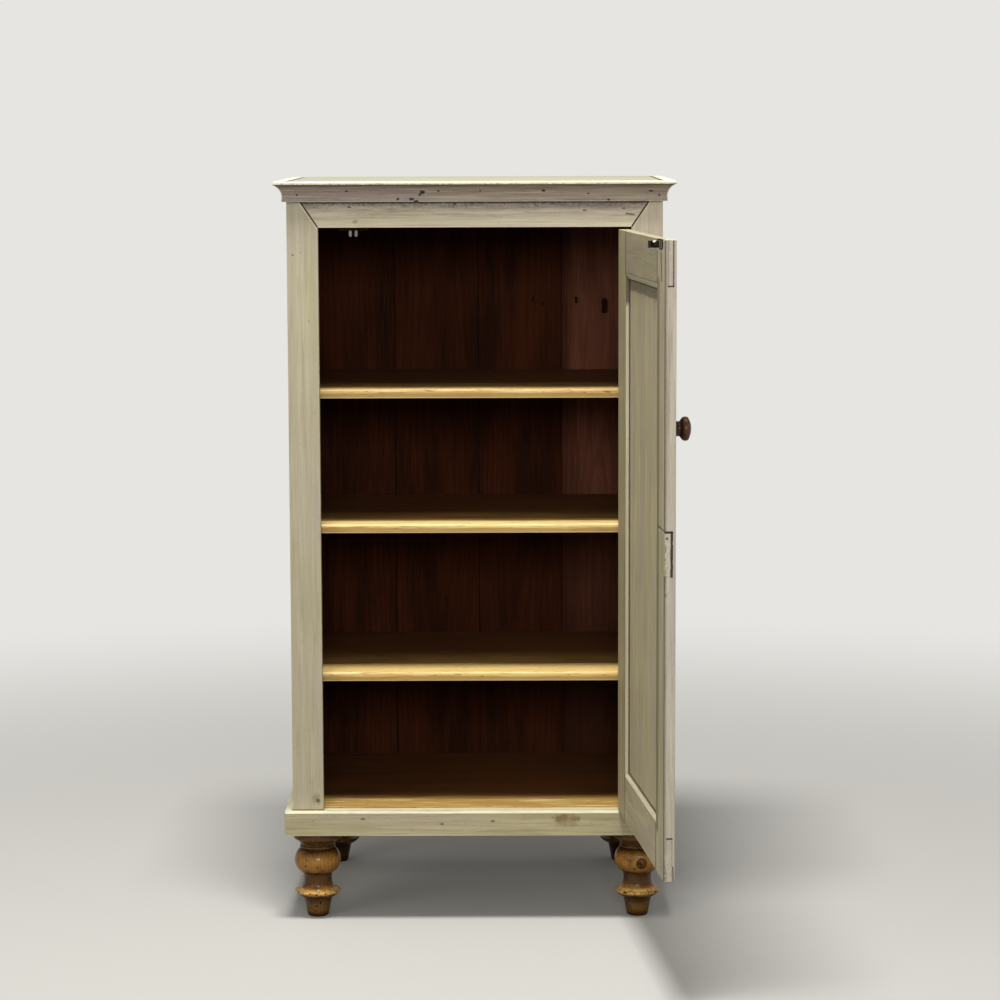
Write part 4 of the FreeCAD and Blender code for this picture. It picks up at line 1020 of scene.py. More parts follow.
def turned_rings(board, knot):
    """Growth rings across a turned piece, which bend round a knot if there is one."""
    tree = board.tree
    heart = add(tree, VECTOR, board.local, (TURNED_HEART_MM * MM, 0.3 * TURNED_HEART_MM * MM, 0),
                operation="ADD")
    bend = add(tree, NOISE, add(tree, MAPPING, board.along, None, None, TURNED_WANDERS), 1.0, 2.0)
    if knot is not None:
        near = near_line(board, knot, knot + KNOT_LENGTH)
        bulge = add(tree, RANGE, near, 0.0, 34 * MM, 1.6, 0.0, interpolation_type="SMOOTHSTEP")
        bend = add(tree, MATH, bend, bulge, operation="ADD")
    radius = add(tree, MATH, bend, 9 * MM, from_heart(board, heart), operation="MULTIPLY_ADD")
    return growth_rings(board, radius, TURNED_RING_MM, -0.5)


def knot_eye(board, colour, knot, light, mid, dark):
    """A pale halo, a dark ring and a mottled middle."""
    eye = near_line(board, knot - KNOT_LENGTH, knot + KNOT_LENGTH, 2.0)
    inside = board.lay(dark, mid, board.clouds(5, 5.0, 0.7), 0.42, 0.56, 0.9)
    colour = board.lay(colour, light, eye, 16 * MM, 12 * MM, 0.7)
    colour = board.lay(colour, dark, eye, 10.5 * MM, 9.5 * MM, 0.85)
    return board.lay(colour, inside, eye, 9.5 * MM, 7 * MM, 0.95)


print("rings of the turned wood", TURNED_RING_MM, "mm apart")

# %% Dirt and painted shade on a foot
FLANGE_MM = 46.0          # height of the flange's sharp edge
DIRT_AND_SHADE_BY_HEIGHT = [        # how dark the foot is at each height in millimetres, from 0 to 1
    (0, 0.7), (5, 0.5), (24, 0.7), (33, 1.0), (39, 0.9), (44, 0.1), (50, 0.0), (56, 0.6),
    (60, 0.75), (74, 0.85), (79, 1.0), (84, 0.4), (104, 0.1), (116, 0.55), (123, 0.95),
    (127, 0.6), (130, 0.9), (138, 0.6), (142, 0.75), (155, 0.6)]


def dirt_and_shade_of_foot(board, colour, light, dark, rim_rub_and_glint):
    """Dirt and painted shade by height on a foot; the flange's edge rubbed and painted as a
    highlight.
    """
    tree, top = board.tree, DIRT_AND_SHADE_BY_HEIGHT[-1][0]
    waver = add(tree, MATH, board.clouds(14, 4.0), 0.02, board.xyz[2], operation="MULTIPLY_ADD")
    waver = add(tree, RANGE, waver, 0.01, 0.01 + top * MM)
    ramp = add(tree, "ShaderNodeValToRGB", waver).node
    for height, _ in DIRT_AND_SHADE_BY_HEIGHT[1:-1]:
        ramp.color_ramp.elements.new(height / top)
    for element, (_, shade) in zip(ramp.color_ramp.elements, DIRT_AND_SHADE_BY_HEIGHT):
        element.color = (shade, shade, shade, 1.0)
    # The ramp darkens by height: dirt, and painted shade under the flange and under the ball.
    colour = board.lay(colour, dark, ramp.outputs["Color"], 0.0, 1.0, 0.9)
    # The flange's edge is rubbed, and also painted as a highlight where it faces the light.
    rubbed = board.lay(rim_rub_and_glint, light, board.clouds(6, 5.0, 0.7), 0.46, 0.6)
    rim = add(tree, MATH, board.xyz[2], (FLANGE_MM + 1.5) * MM, operation="SUBTRACT")
    rim = add(tree, MATH, rim, operation="ABSOLUTE")
    return board.lay(colour, rubbed, rim, 5.5 * MM, 2.0 * MM, 0.85)


print("dirt set at", len(DIRT_AND_SHADE_BY_HEIGHT), "heights")


# %% Turned and waxed wood
def waxed_wood(name, node, light, mid, dark, coat, knot=None, rim_rub_and_glint=None):
    """Turned wood under wax. A colour for the rim makes it a foot, with a foot's dirt and painted
    shade.
    """
    board = Board(name, node, "z")
    tree, rings = board.tree, turned_rings(board, knot)
    fibres = board.streaks(0.9, 30, 3.0, 0.6)
    colour = board.layers(light, [
        (mid, rings, 0.1, 1.0, 0.3),
        (mid, fibres, 0.42, 0.7, 0.5),
        (dark, board.clouds(26, 5.0, 0.65), 0.5, 0.72, 0.6),
        (light, board.streaks(7, 60), 0.6, 0.8, 0.5)])
    if knot is not None:
        colour = knot_eye(board, colour, knot, light, mid, dark)
    if rim_rub_and_glint is not None:
        colour = dirt_and_shade_of_foot(board, colour, light, dark, rim_rub_and_glint)
    # Grooves go darker: dirt, and painted shade in the hollows of the turning.
    nook = dirt_and_shade_in_nooks(board, 20, 8, 12, -0.2)
    colour = board.lay(colour, dark, nook, 0.85, 0.4, 0.95)
    if rim_rub_and_glint is not None:
        hurt = add(tree, "ShaderNodeAttribute", attribute_name="damage").node.outputs["Fac"]
        colour = board.lay(colour, "#150A04", hurt, 0.15, 0.7, 0.95)
    height = add(tree, MATH, rings, 0.5, fibres, operation="MULTIPLY_ADD")
    rough = add(tree, RANGE, nook, 0.3, 0.9, 0.6, 0.34)
    return board.finish(colour, height, 0.12, rough, 0.08, Coat_Weight=coat, Coat_Roughness=0.13)


dress("knob", waxed_wood("dark_waxed_knob", "knob", "#6B4932", "#4C3020", "#1E110A", 0.22))
print("knob waxed")

# %% [markdown]
# ## Turned feet by Geometry Nodes
# A turned foot is one outline spun round an axis, so it follows a rule: the height along the
# outline gives the radius, and the turn about the axis gives the rest. The tree below lays a
# flat grid of points, sends each one to its place on the outline and round the axis, and closes
# the seam. Then it works on the surface as time did: soft knocks, chips along the sharp edge of
# the flange, and the round holes that woodworm leaves. A lathe in mesh code would give the
# same outline, but here the wear can be set on each foot by its own inputs.

# %% Outline of a foot, from the floor up
FOOT_PARTS = [
    # how this stretch runs, radius and height at its end, and a middle point for a curve
    ("line", 16.5, 0.0, None), ("line", 18.5, 2.0, None), ("line", 25.0, 34.0, None),
    ("arc", 40.5, 44.5, (35.5, 39.25)), ("line", 40.5, 47.0, None),
    ("arc", 26.0, 57.0, (30.05, 51.0)), ("arc", 26.0, 78.0, (24.6, 67.5)),
    ("arc", 29.5, 124.0, (41.0, 101.0)), ("arc", 29.5, 129.0, (31.5, 126.5)),
    ("arc", 41.5, 141.0, (33.0, 135.0)), ("line", 42.5, 142.0, None), ("line", 42.5, 155.0, None),
    ("line", 0.0, 155.0, None),
]


def circle_through(a, b, c):
    """Centre of the circle through three points of the outline."""
    d = 2 * (a.x * (b.y - c.y) + b.x * (c.y - a.y) + c.x * (a.y - b.y))
    squares = [p.length_squared for p in (a, b, c)]
    x = (squares[0] * (b.y - c.y) + squares[1] * (c.y - a.y) + squares[2] * (a.y - b.y)) / d
    y = (squares[0] * (c.x - b.x) + squares[1] * (a.x - c.x) + squares[2] * (b.x - a.x)) / d
    return Vector((x, y))


def outline_points(parts, steps=14):
    """Points of the outline, with each arc divided into short steps."""
    points = [Vector((0.0, 0.0))]
    for kind, radius, height, middle in parts:
        start, end = points[-1], Vector((radius, height))
        if kind == "arc":
            centre = circle_through(start, Vector(middle), end)
            first, last = start - centre, end - centre
            sweep = first.angle_signed(last)
            for i in range(1, steps):
                turned = first.copy()
                turned.rotate(Matrix.Rotation(-sweep * i / steps, 2))
                points.append(centre + turned)
        points.append(end)
    return points


FOOT_OUTLINE = outline_points(FOOT_PARTS)
print("foot outline", len(FOOT_OUTLINE), "points,", FOOT_PARTS[-1][2], "mm high")


# %% What a tree reads from: a curve, and loose points
def shown_object(name, data):
    """A new object with this data, in the scene."""
    holder = bpy.data.objects.new(name, data)
    bpy.context.scene.collection.objects.link(holder)
    return holder


def outline_curve(points):
    """A curve object that the node tree can walk along."""
    curve = bpy.data.curves.new("outline", "CURVE")
    curve.dimensions = "3D"
    spline = curve.splines.new("POLY")
    spline.points.add(len(points) - 1)
    for point, place in zip(spline.points, points):
        point.co = (place.x * MM, 0.0, place.y * MM, 1.0)
    return shown_object("outline", curve)


def point_cloud(name, places):
    """A mesh of loose points, for holes and nails."""
    mesh = bpy.data.meshes.new(name)
    mesh.from_pydata([tuple(p) for p in places], [], [])
    return shown_object(name, mesh)


def new_geometry_tree(name, inputs):
    """An empty tree that gives back a mesh, and the sockets of its named inputs."""
    tree = bpy.data.node_groups.new(name, "GeometryNodeTree")
    tree.interface.new_socket("Geometry", in_out="OUTPUT", socket_type="NodeSocketGeometry")
    for label, kind in inputs:
        tree.interface.new_socket(label, in_out="INPUT", socket_type="NodeSocket" + kind)
    return tree, add(tree, "NodeGroupInput").node.outputs


print("widest radius of the outline", max(point.x for point in FOOT_OUTLINE), "mm")

# %% [markdown]
# The tree is built in steps: first the clean form as it left the lathe, then one function for
# each kind of wear. The wear only moves points towards the axis, so the foot never grows past
# its outline. The same masks are kept on the points as "damage", which the wax reads as dirt.

# %% A foot as it left the lathe
FOOT_INPUTS = [("Outline", "Object"), ("Centre", "Vector"), ("Around", "Int"), ("Rows", "Int"),
               ("Holes", "Object"), ("Hole Radius", "Float"), ("Hole Depth", "Float"),
               ("Knock Size", "Float"), ("Knock Depth", "Float"), ("Rim Height", "Float"),
               ("Chip Depth", "Float"), ("Seed", "Float"), ("Material", "Material")]
WELD_MM = 0.04            # points closer than this are joined where the seam closes
CRUMBS_PER_M = 95.0       # crumbs along the flange's edge, coarser than real ones


def spun_outline(tree, given):
    """The outline spun round its axis, with the seam and both ends closed."""
    outline = add(tree, "GeometryNodeObjectInfo", given["Outline"]).node.outputs["Geometry"]
    grid = add(tree, "GeometryNodeMeshGrid", 1.0, 1.0, given["Around"], given["Rows"])
    at = add(tree, SPLIT, add(tree, "GeometryNodeInputPosition")).node.outputs
    along = add(tree, MATH, at[1], 0.5, operation="ADD")
    around = add(tree, MATH, at[0], 2 * math.pi, operation="MULTIPLY")
    walked = add(tree, "GeometryNodeSampleCurve", mode="FACTOR", use_all_curves=True,
                 named={"Curves": outline, "Factor": along}).node.outputs["Position"]
    spun = add(tree, "ShaderNodeVectorRotate", walked, rotation_type="Z_AXIS",
               named={"Angle": around})
    placed = add(tree, VECTOR, spun, given["Centre"], operation="ADD")
    body = add(tree, "GeometryNodeSetPosition", grid, None, placed)
    return add(tree, "GeometryNodeMergeByDistance", body, named={"Distance": WELD_MM * MM})


print("inputs of a foot", len(FOOT_INPUTS))


# %% Wear of a foot
def knock_depth(tree, given, drawn):
    """How deep the soft knocks press the wood in."""
    per_size = add(tree, MATH, 1.0, given["Knock Size"], operation="DIVIDE")
    lumps = add(tree, NOISE, drawn, per_size, 2.0)
    return add(tree, RANGE, lumps, 0.58, 0.74, 0.0, given["Knock Depth"],
               interpolation_type="SMOOTHSTEP")


def worm_holes(tree, given):
    """1 in the middle of a worm hole, 0 outside it."""
    holes = add(tree, "GeometryNodeObjectInfo", given["Holes"]).node.outputs["Geometry"]
    nearest = add(tree, "GeometryNodeProximity", holes, target_element="POINTS")
    return add(tree, RANGE, nearest.node.outputs["Distance"], given["Hole Radius"], 0.0,
               interpolation_type="SMOOTHSTEP")


def rim_chips(tree, given, here, drawn):
    """1 where the flange's sharp edge has crumbled away."""
    height = add(tree, SPLIT, here).node.outputs[2]
    from_rim = add(tree, MATH, height, given["Rim Height"], operation="SUBTRACT")
    from_rim = add(tree, MATH, from_rim, operation="ABSOLUTE")
    at_rim = add(tree, RANGE, from_rim, 4 * MM, 0.5 * MM, interpolation_type="SMOOTHSTEP")
    crumbs = add(tree, NOISE, drawn, CRUMBS_PER_M, 3.0, 0.6)
    crumbs = add(tree, RANGE, crumbs, 0.53, 0.68, interpolation_type="SMOOTHSTEP")
    return add(tree, MATH, crumbs, at_rim, operation="MULTIPLY")


def foot_tree():
    """Spin the outline, then press in the knocks, bore the holes and chip the rim."""
    tree, given = new_geometry_tree("turned_foot", FOOT_INPUTS)
    body = spun_outline(tree, given)
    here = add(tree, "GeometryNodeInputPosition")
    outward = add(tree, VECTOR, here, given["Centre"], operation="SUBTRACT")
    outward = add(tree, VECTOR, outward, (1, 1, 0), operation="MULTIPLY")
    outward = add(tree, VECTOR, outward, operation="NORMALIZE")
    seeded = add(tree, "ShaderNodeCombineXYZ", given["Seed"], given["Seed"], given["Seed"])
    drawn = add(tree, VECTOR, here, seeded, operation="ADD")
    bore, chip = worm_holes(tree, given), rim_chips(tree, given, here, drawn)
    inwards = knock_depth(tree, given, drawn)
    for share, deepest in ((bore, "Hole Depth"), (chip, "Chip Depth")):
        depth = add(tree, MATH, share, given[deepest], operation="MULTIPLY")
        inwards = add(tree, MATH, inwards, depth, operation="ADD")
    inwards = add(tree, MATH, inwards, -1.0, operation="MULTIPLY")
    moved = add(tree, VECTOR, outward, operation="SCALE", named={"Scale": inwards})
    chip = add(tree, MATH, chip, 0.75, operation="MULTIPLY")
    hurt = add(tree, MATH, bore, chip, operation="MAXIMUM")
    body = add(tree, "GeometryNodeStoreNamedAttribute", body, data_type="FLOAT", domain="POINT",
               named={"Name": "damage", "Value": hurt})
    body = add(tree, "GeometryNodeSetPosition", body, named={"Offset": moved})
    body = add(tree, "GeometryNodeSetShadeSmooth", body)
    body = add(tree, "GeometryNodeRealizeInstances", body)
    body = add(tree, "GeometryNodeSetMaterial", body, named={"Material": given["Material"]})
    add(tree, "NodeGroupOutput", body)
    return tree


FOOT_TREE = foot_tree()
print("nodes in the tree of a foot", len(FOOT_TREE.nodes))

# %% [markdown]
# A tree works as a modifier on an empty mesh. Its result is read once, kept as a plain mesh, and
# the modifier goes again, because plain meshes are what other programs can open. An input is set
# by its identifier: two inputs may share a name, but never that.


# %% Running a tree and keeping its mesh
def face_outwards(piece):
    """Make the normals of a closed mesh point out."""
    work = bmesh.new()
    work.from_mesh(piece.data)
    bmesh.ops.recalc_face_normals(work, faces=work.faces)
    work.to_mesh(piece.data)
    work.free()


def run_tree(tree, name, values):
    """Put a tree on an empty mesh, set its inputs, and give back the plain result."""
    piece = shown_object(name, bpy.data.meshes.new(name))
    modifier = piece.modifiers.new("nodes", "NODES")
    modifier.node_group = tree
    for item in tree.interface.items_tree:
        if item.in_out == "INPUT":
            modifier[item.identifier] = values[item.name]
    depsgraph = bpy.context.evaluated_depsgraph_get()
    mesh = bpy.data.meshes.new_from_object(piece.evaluated_get(depsgraph))
    piece.modifiers.remove(modifier)
    blank = piece.data
    piece.data = mesh
    bpy.data.meshes.remove(blank)
    mesh.name = name
    face_outwards(piece)
    return piece


print("trees ready", len(bpy.data.node_groups))

# %% [markdown]
# The two front feet show their worm holes and one large knot, so those are placed one by one.
# The rear feet are given darker colours, painted shade for the place under the cupboard where
# they stand. Each foot has a seed of its own, so that no two are knocked alike.

# %% Holes, knots and colours of the feet
WORM_HOLES = {            # turn about the axis in degrees, and height in millimetres
    "foot_front_left": [(-91, 45), (-68, 46), (-75, 27), (-96, 19), (-120, 95), (-150, 47)],
    "foot_front_right": [(-60, 46), (-100, 90), (-130, 30)],
    "foot_rear_left": [(-80, 46)],
    "foot_rear_right": [(70, 110)],
}
KNOT_PLACES = {"foot_front_right": (6, -41, 100)}
FOOT_COLOURS = {"front": ("#B8843A", "#865318", "#F0C274"),   # light, middle, and the rim's rubbed wood and painted highlight
                # The rear feet's darker colours are painted shade.
                "rear": ("#6E4418", "#4A290C", "#7E5420")}
FOOT_DARK = "#271103"
# Sizes of the wear in millimetres. Worm holes are drawn wider than real ones so that they show.
FOOT_WEAR = {"Hole Radius": 2.6, "Hole Depth": 3.4, "Knock Size": 13, "Knock Depth": 0.8,
             "Rim Height": FLANGE_MM, "Chip Depth": 3.2}
FOOT_GRID = {"Around": 145, "Rows": 260}    # points round the foot, and from foot to top


def foot_radius(height):
    """Outer radius of the outline at a height, between the two points that hold it."""
    for a, b in zip(FOOT_OUTLINE, FOOT_OUTLINE[1:]):
        if min(a.y, b.y) <= height <= max(a.y, b.y) and b.y != a.y:
            return a.x + (b.x - a.x) * (height - a.y) / (b.y - a.y)
    return FOOT_OUTLINE[-1].x


def hole_places(centre, holes):
    """Points on the surface of a foot where worms have come out."""
    places = []
    for turn, height in holes:
        radius, angle = foot_radius(height) * MM, math.radians(turn)
        places.append(centre + Vector((radius * math.cos(angle), radius * math.sin(angle),
                                       height * MM)))
    return places


print("worm holes", sum(len(holes) for holes in WORM_HOLES.values()))


# %% Make the four feet
def make_foot(name, number, outline):
    """One foot: its wax, its mesh, and its place in the frame."""
    low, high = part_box(name)
    centre = Vector(((low.x + high.x) / 2, (low.y + high.y) / 2, 0.0))
    knot = KNOT_PLACES.get(name)
    if knot is not None:
        knot = centre + Vector(knot) * MM
    light, mid, rim = FOOT_COLOURS["front" if "front" in name else "rear"]
    wax = waxed_wood("waxed_" + name, name, light, mid, FOOT_DARK, 0.28, knot, rim)
    worm = point_cloud("worm", hole_places(centre, WORM_HOLES[name]))
    sizes = {label: size * MM for label, size in FOOT_WEAR.items()}
    piece = run_tree(FOOT_TREE, "turned_" + name, {
        "Outline": outline, "Centre": centre, "Holes": worm, "Seed": 3.1 + 7.7 * number,
        "Material": wax, **FOOT_GRID, **sizes})
    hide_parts(name)
    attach(piece, "carcass")
    bpy.data.objects.remove(worm)
    print(piece.name, "faces", len(piece.data.polygons))


def make_feet():
    """The four feet on one outline."""
    outline = outline_curve(FOOT_OUTLINE)
    for number, name in enumerate(WORM_HOLES):
        make_foot(name, number, outline)
    bpy.data.objects.remove(outline)


make_feet()

# %% [markdown]
# ## Metals and nylon
# The butt hinges and slotted screws are plain steel gone dull and brown. The catch and its
# strike were plated and have yellowed, and the catch's rollers are white nylon. Steel is fully
# metallic, so its colour is that of its reflection. Stains make it duller and rougher, and the
# edges are rubbed bright. On the strike the pale edges and a pale patch are painted highlights.
# A flat grey would look like plastic.


# %% Steel and nylon
def worn_steel(node, bright, dull, roughness, rubbed="#A39C8C", glint_patch=0.0):
    """Stained steel, pale along its edges from wear, and on the strike also as a painted highlight;
    'glint_patch' is the share under a pale patch, a painted highlight.
    """
    board = Board("worn_steel_" + node, node, "z")
    stains = board.clouds(6, 5.0, 0.65)
    colour = board.lay(bright, dull, stains, 0.4, 0.65)
    if glint_patch:
        colour = board.lay(colour, rubbed, board.clouds(11, 1.0), 1.05 - glint_patch, 1.1 - glint_patch)
    colour = board.lay(colour, rubbed, edge_closeness(board, 0.9, 4), 0.98, 0.85, 0.8)
    rough = add(board.tree, RANGE, stains, 0.35, 0.7, roughness, roughness + 0.25)
    return board.finish(colour, stains, 0.05, rough, specular=0.5, Metallic=1.0)


def nylon(node):
    """White nylon gone grey, smooth and without metal in it."""
    board = Board("white_nylon_" + node, node, "z")
    rubbed = board.clouds(2.5)
    colour = board.lay("#9C9A93", "#75726A", rubbed, 0.4, 0.7)
    return board.finish(colour, rubbed, 0.03, 0.35, specular=0.5)


# Bright and dull colour and roughness; then the colour of the rubbed edges, and the share under a
# pale patch. On the strike both are painted highlights.
HINGE_STEEL = ("#7E776A", "#3E352B", 0.42)
SCREW_STEEL = ("#9A9486", "#5A5040", 0.4)
SLIDER_STEEL = ("#B3A588", "#5A4C36", 0.38)
STEELS = {"hinge_lower_frame_leaf": HINGE_STEEL, "hinge_upper_frame_leaf": HINGE_STEEL,
          "hinge_lower_door_leaf": HINGE_STEEL, "hinge_upper_door_leaf": HINGE_STEEL,
          "hinge_pins": HINGE_STEEL, "screws_carcass": SCREW_STEEL, "screws_door": SCREW_STEEL,
          "catch_slider_left": SLIDER_STEEL, "catch_slider_right": SLIDER_STEEL,
          # The strike's pale edges and pale patch are painted highlights.
          "catch_strike": ("#2A231C", "#0E0A08", 0.22, "#D8D2C0", 0.45),
          "catch_channel": ("#2E2720", "#17120E", 0.55, "#3A332A")}
for name, values in STEELS.items():
    dress(name, worn_steel(name, *values))
for name in ("catch_roller_left", "catch_roller_right"):
    dress(name, nylon(name))
print("steel on", len(STEELS), "nodes")

# %% [markdown]
# ## Nails by Geometry Nodes
# A cupboard like this is nailed together: the back boards to the carcass and the shelves, the
# plinth and the cornice to the frame, the beads to the door. Nails are one small head many
# times over, so a tree sets a flattened ball on every point of a list, turned to face out of
# the wood, each a little different in size.

# %% The tree for nails
NAIL_INPUTS = [("Places", "Object"), ("Facing", "Vector"), ("Head Radius", "Float"),
               ("Flatness", "Float"), ("Unevenness", "Float"), ("Seed", "Int"),
               ("Material", "Material")]


def nail_tree():
    """A head on every point, each a little smaller than the full size."""
    tree, given = new_geometry_tree("nail_heads", NAIL_INPUTS)
    places = add(tree, "GeometryNodeObjectInfo", given["Places"]).node.outputs["Geometry"]
    head = add(tree, "GeometryNodeMeshUVSphere", 14, 8, given["Head Radius"])
    squash = add(tree, "ShaderNodeCombineXYZ", 1.0, 1.0, given["Flatness"])
    head = add(tree, "GeometryNodeTransform", head, named={"Scale": squash})
    turned = add(tree, "FunctionNodeAlignRotationToVector", named={"Vector": given["Facing"]})
    least = add(tree, MATH, 1.0, given["Unevenness"], operation="SUBTRACT")
    size = add(tree, "FunctionNodeRandomValue", data_type="FLOAT",
               named={"Min": least, "Max": 1.0, "Seed": given["Seed"]})
    heads = add(tree, "GeometryNodeInstanceOnPoints", places,
                named={"Instance": head, "Rotation": turned, "Scale": size})
    heads = add(tree, "GeometryNodeRealizeInstances", heads)
    heads = add(tree, "GeometryNodeSetShadeSmooth", heads)
    heads = add(tree, "GeometryNodeSetMaterial", heads, named={"Material": given["Material"]})
    add(tree, "NodeGroupOutput", heads)
    return tree


NAIL_TREE = nail_tree()
print("nodes in the tree of the nails", len(NAIL_TREE.nodes))

# %% [markdown]
# Nails go where a joiner would put them: in rows at each shelf, along the middle of a narrow
# moulding, and evenly along a bead. A hand never sets them quite in line, so the rows waver by a
# few millimetres. Those in the plinth are placed one by one, because rust stains mark them.

# %% Places of the nails
BACK_ROWS = [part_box(name)[0].z + 8 * MM for name in ("shelf_lower", "shelf_middle", "shelf_upper")]
BACK_ROWS += [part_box("bottom_board")[0].z + 9 * MM, TOP_Z - 30 * MM]
PLINTH_NAILS = [(-201, 185.3), (-61.8, 175.9), (28.1, 181.0), (134, 187), (262, 180), (-290, 181)]
CORNICE_NAILS = [(-255, 1269.5), (-118, 1269.5), (12, 1269.5), (139, 1269.5), (268, 1269.5)]
CORNICE_FOOT_MM = 8       # how far the upright foot of the cornice stands out
SUNK_MM = 0.3             # how deep the middle of a head lies in a moulding


def back_nails():
    """Two nails in each board at each shelf, at the bottom and at the top."""
    draw = random.Random(11)
    places = []
    for number in (1, 2, 3, 4):
        low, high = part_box("back_board_%d" % number)
        for row in BACK_ROWS:
            for share in (0.2, 0.8):
                x = low.x + (high.x - low.x) * share
                places.append((x + draw.uniform(-6, 6) * MM, BACK_Y - 0.8 * MM,
                               row + draw.uniform(-3, 3) * MM))
    return places


def bead_pins():
    """Small pins through the beads of the door, on their sloping inner faces."""
    draw = random.Random(12)
    low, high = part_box("door_bead_lock")
    x0, x1, z0, z1 = SIGHT_LOW[0], SIGHT_HIGH[0], low.z, high.z
    y, inset = INSIDE_Y - 0.6 * MM, 1.4 * MM
    places = []
    for x in (x0 + inset, x1 - inset):
        for step in range(6):
            z = z0 + (z1 - z0) * (step + 0.5) / 6 + draw.uniform(-12, 12) * MM
            places.append(on_open_door(Vector((x, y, z))))
    for z in (z0 + inset, z1 - inset):
        for step in range(3):
            x = x0 + (x1 - x0) * (step + 0.5) / 3 + draw.uniform(-12, 12) * MM
            places.append(on_open_door(Vector((x, y, z))))
    return places


print("rows of nails in the back", len(BACK_ROWS))

# %% Drive the nails
OUT_OF_BACK, OUT_OF_FRONT = (0, 1, 0), (0, -1, 0)
OUT_OF_DOOR = Matrix.Rotation(OPEN_ANGLE, 3, "Z") @ Vector(OUT_OF_BACK)
NAILS = [                 # name, places, where the heads face, their radius in mm, and the body
    ("back_nails", back_nails(), OUT_OF_BACK, 3.0, "carcass"),
    ("plinth_nails", [spot(x, SUNK_MM - PLINTH_OUT_MM, z) for x, z in PLINTH_NAILS],
     OUT_OF_FRONT, 1.7, "carcass"),
    ("cornice_nails", [spot(x, SUNK_MM - CORNICE_FOOT_MM, z) for x, z in CORNICE_NAILS],
     OUT_OF_FRONT, 1.3, "carcass"),
    ("bead_pins", bead_pins(), OUT_OF_DOOR, 1.0, "door")]


def rusty_iron(name):
    """Rusty iron for one set of nails."""
    iron = worn_steel("hinge_pins", "#4A3A2C", "#231811", 0.6)
    iron.name = "rusty_iron_" + name
    return iron


for number, (name, places, facing, radius, body) in enumerate(NAILS):
    cloud = point_cloud("places", places)
    piece = run_tree(NAIL_TREE, name, {
        "Places": cloud, "Facing": facing, "Head Radius": radius * MM, "Flatness": 0.25,
        "Unevenness": 0.25, "Seed": 5 + number, "Material": rusty_iron(name)})
    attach(piece, body)
    bpy.data.objects.remove(cloud)
    print(piece.name, "nails", len(places), "faces", len(piece.data.polygons))

# %% [markdown]
# ## Camera, floor and light
# The camera stands a little right of the middle and above the top, about five and a half metres
# in front, with a long lens, so that upright edges stay nearly parallel. Aiming it at a target
# would be shorter, but leaves the roll to chance. So its place and its three angles are given,
# and its axes are worked out from them.

# %% Camera
CAMERA_PLACE = spot(58.1, -5431.2, 1395.6)
CAMERA_YAW = math.radians(-0.167)
CAMERA_PITCH = math.radians(6.792)
CAMERA_ROLL = math.radians(-0.192)
CAMERA_LENS_MM = 112.877
SENSOR_MM = 36.0


def make_camera():
    """A camera turned by yaw, then pitch, then roll."""
    level = Vector((math.sin(CAMERA_YAW), math.cos(CAMERA_YAW), 0))
    right = Vector((math.cos(CAMERA_YAW), -math.sin(CAMERA_YAW), 0))
    forward = level * math.cos(CAMERA_PITCH) - Vector((0, 0, math.sin(CAMERA_PITCH)))
    up = level * math.sin(CAMERA_PITCH) + Vector((0, 0, math.cos(CAMERA_PITCH)))
    rolled_right = right * math.cos(CAMERA_ROLL) + up * math.sin(CAMERA_ROLL)
    rolled_up = up * math.cos(CAMERA_ROLL) - right * math.sin(CAMERA_ROLL)
    data = bpy.data.cameras.new("camera")
    data.sensor_width = SENSOR_MM
    data.lens = CAMERA_LENS_MM
    camera = shown_object("camera", data)
    axes = Matrix((rolled_right, rolled_up, -forward)).transposed()
    camera.matrix_world = Matrix.Translation(CAMERA_PLACE) @ axes.to_4x4()
    bpy.context.scene.camera = camera


make_camera()
print("camera", [round(value, 3) for value in CAMERA_PLACE], "lens", CAMERA_LENS_MM)

# %% [markdown]
# The floor takes the cupboard's shadow near the feet and fades into the plain background farther
# off. Its pale colour is only for rays from the camera and for mirrored ones. To every other ray
# it is a darker grey, so that it throws little light back up at the cupboard. The surroundings
# work in the same way: plain to the camera, and a weak soft light to everything else.

# %% Floor
BACKGROUND = "#E6E5E1"
FLOOR_REACH_M = 14.0
FADE_M = (0.9, 3.6)       # the floor is itself up to the first distance, background at the second


def seen_directly(tree):
    """1 for rays from the camera, and for those mirrored or let through."""
    rays = add(tree, "ShaderNodeLightPath").node.outputs
    shown = add(tree, MATH, rays["Is Camera Ray"], rays["Is Glossy Ray"], operation="MAXIMUM")
    return add(tree, MATH, shown, rays["Is Transmission Ray"], operation="MAXIMUM")


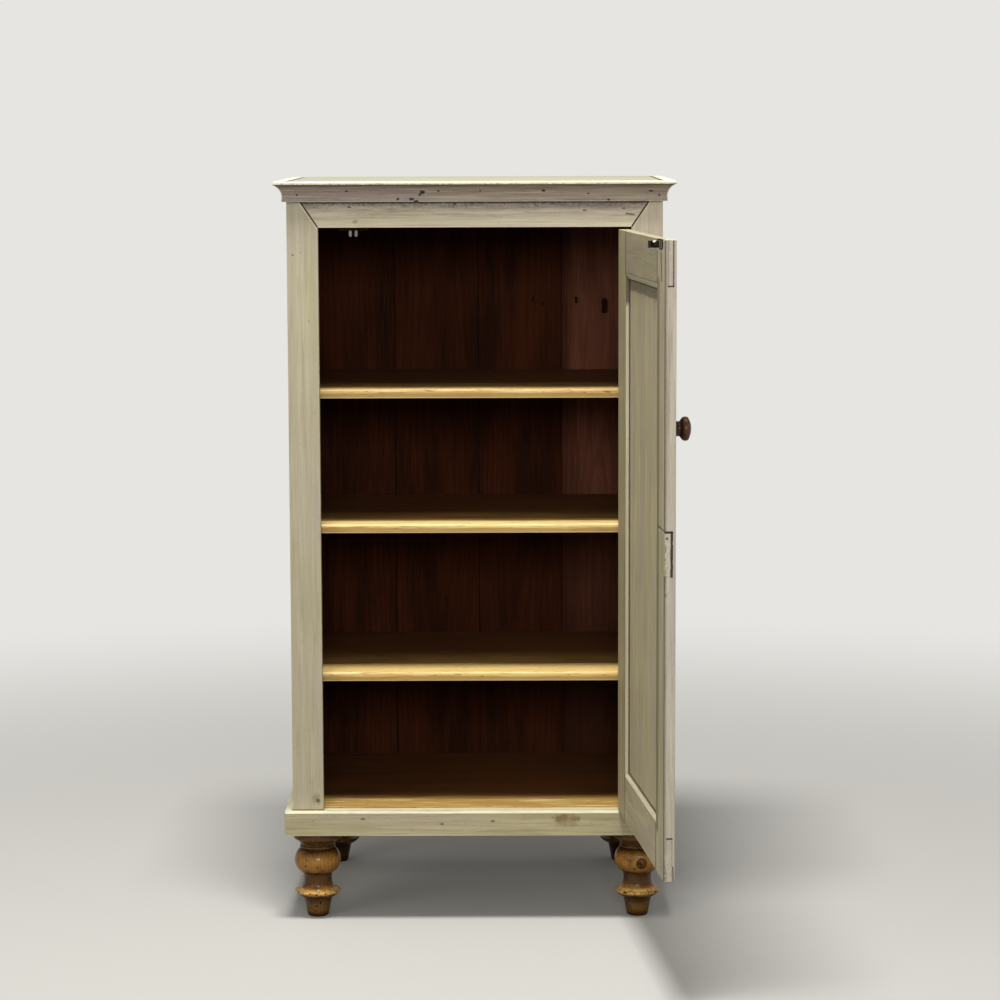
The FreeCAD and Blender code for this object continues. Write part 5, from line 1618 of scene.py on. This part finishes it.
def floor_material():
    """A pale floor that turns into the background with distance."""
    material = bpy.data.materials.new("pale_floor")
    material.use_nodes = True
    tree = material.node_tree
    tree.nodes.clear()
    shown = seen_directly(tree)
    colour = add(tree, MIX, shown, linear("#4F4B45"), linear("#C6C4BE"), data_type="RGBA")
    shader = add(tree, "ShaderNodeBsdfPrincipled", colour, named={"Roughness": 0.8})
    shader.node.inputs["Specular IOR Level"].default_value = 0.1
    away = add(tree, "ShaderNodeTexCoord").node.outputs["Object"]
    away = add(tree, VECTOR, away, operation="LENGTH").node.outputs["Value"]
    far = add(tree, RANGE, away, *FADE_M, interpolation_type="SMOOTHSTEP")
    far = add(tree, MATH, far, shown, operation="MULTIPLY")
    glow = add(tree, "ShaderNodeEmission", linear(BACKGROUND), 1.0)
    add(tree, "ShaderNodeOutputMaterial", add(tree, "ShaderNodeMixShader", far, shader, glow))
    return material


def make_floor():
    """One large square under the feet."""
    mesh = bpy.data.meshes.new("floor")
    corners = [(x * FLOOR_REACH_M, y * FLOOR_REACH_M, 0) for x, y in
               ((-1, -1), (1, -1), (1, 1), (-1, 1))]
    mesh.from_pydata(corners, [], [(0, 1, 2, 3)])
    floor = shown_object("floor", mesh)
    mesh.materials.append(floor_material())


make_floor()
print("floor", 2 * FLOOR_REACH_M, "m wide")


# %% Surroundings
def make_world():
    """Soft light from all round, and the plain background for the camera alone."""
    world = bpy.data.worlds.new("surroundings")
    world.use_nodes = True
    tree = world.node_tree
    tree.nodes.clear()
    fill = add(tree, "ShaderNodeBackground", linear("#F2F1EE"), 0.36)
    backdrop = add(tree, "ShaderNodeBackground", linear(BACKGROUND), 1.0)
    camera_only = add(tree, "ShaderNodeLightPath").node.outputs["Is Camera Ray"]
    both = add(tree, "ShaderNodeMixShader", camera_only, fill, backdrop)
    add(tree, "ShaderNodeOutputWorld", both)
    bpy.context.scene.world = world


make_world()
print("background", BACKGROUND)

# %% [markdown]
# The main lamp hangs nearly overhead, a little in front and to the left, so that tops and upper
# edges are bright, the front is softer and the inside falls dark. Weak lamps far in front lift
# the front faces. All are large rectangles, because small ones would give hard shadows.

# %% Lamps
AIM = Vector((0.0, 0.0, 0.7))
LAMPS = [                 # name, place and size in metres, power in watts
    ("overhead_lamp", (-0.15, -0.75, 4.2), (1.0, 0.7), 155.0),
    ("front_lamp", (0.3, -6.2, 2.3), (2.4, 1.2), 141.0),
    ("left_lamp", (-4.0, -4.4, 2.4), (3.0, 2.4), 53.0)]
for name, place, size, power in LAMPS:
    data = bpy.data.lights.new(name, "AREA")
    data.shape = "RECTANGLE"
    data.size, data.size_y = size
    data.energy = power
    lamp = shown_object(name, data)
    lamp.location = place
    lamp.rotation_mode = "QUATERNION"
    lamp.rotation_quaternion = (AIM - Vector(place)).to_track_quat("-Z", "Y")
bpy.context.scene.view_settings.view_transform = "Standard"
print("lamps", len(LAMPS))
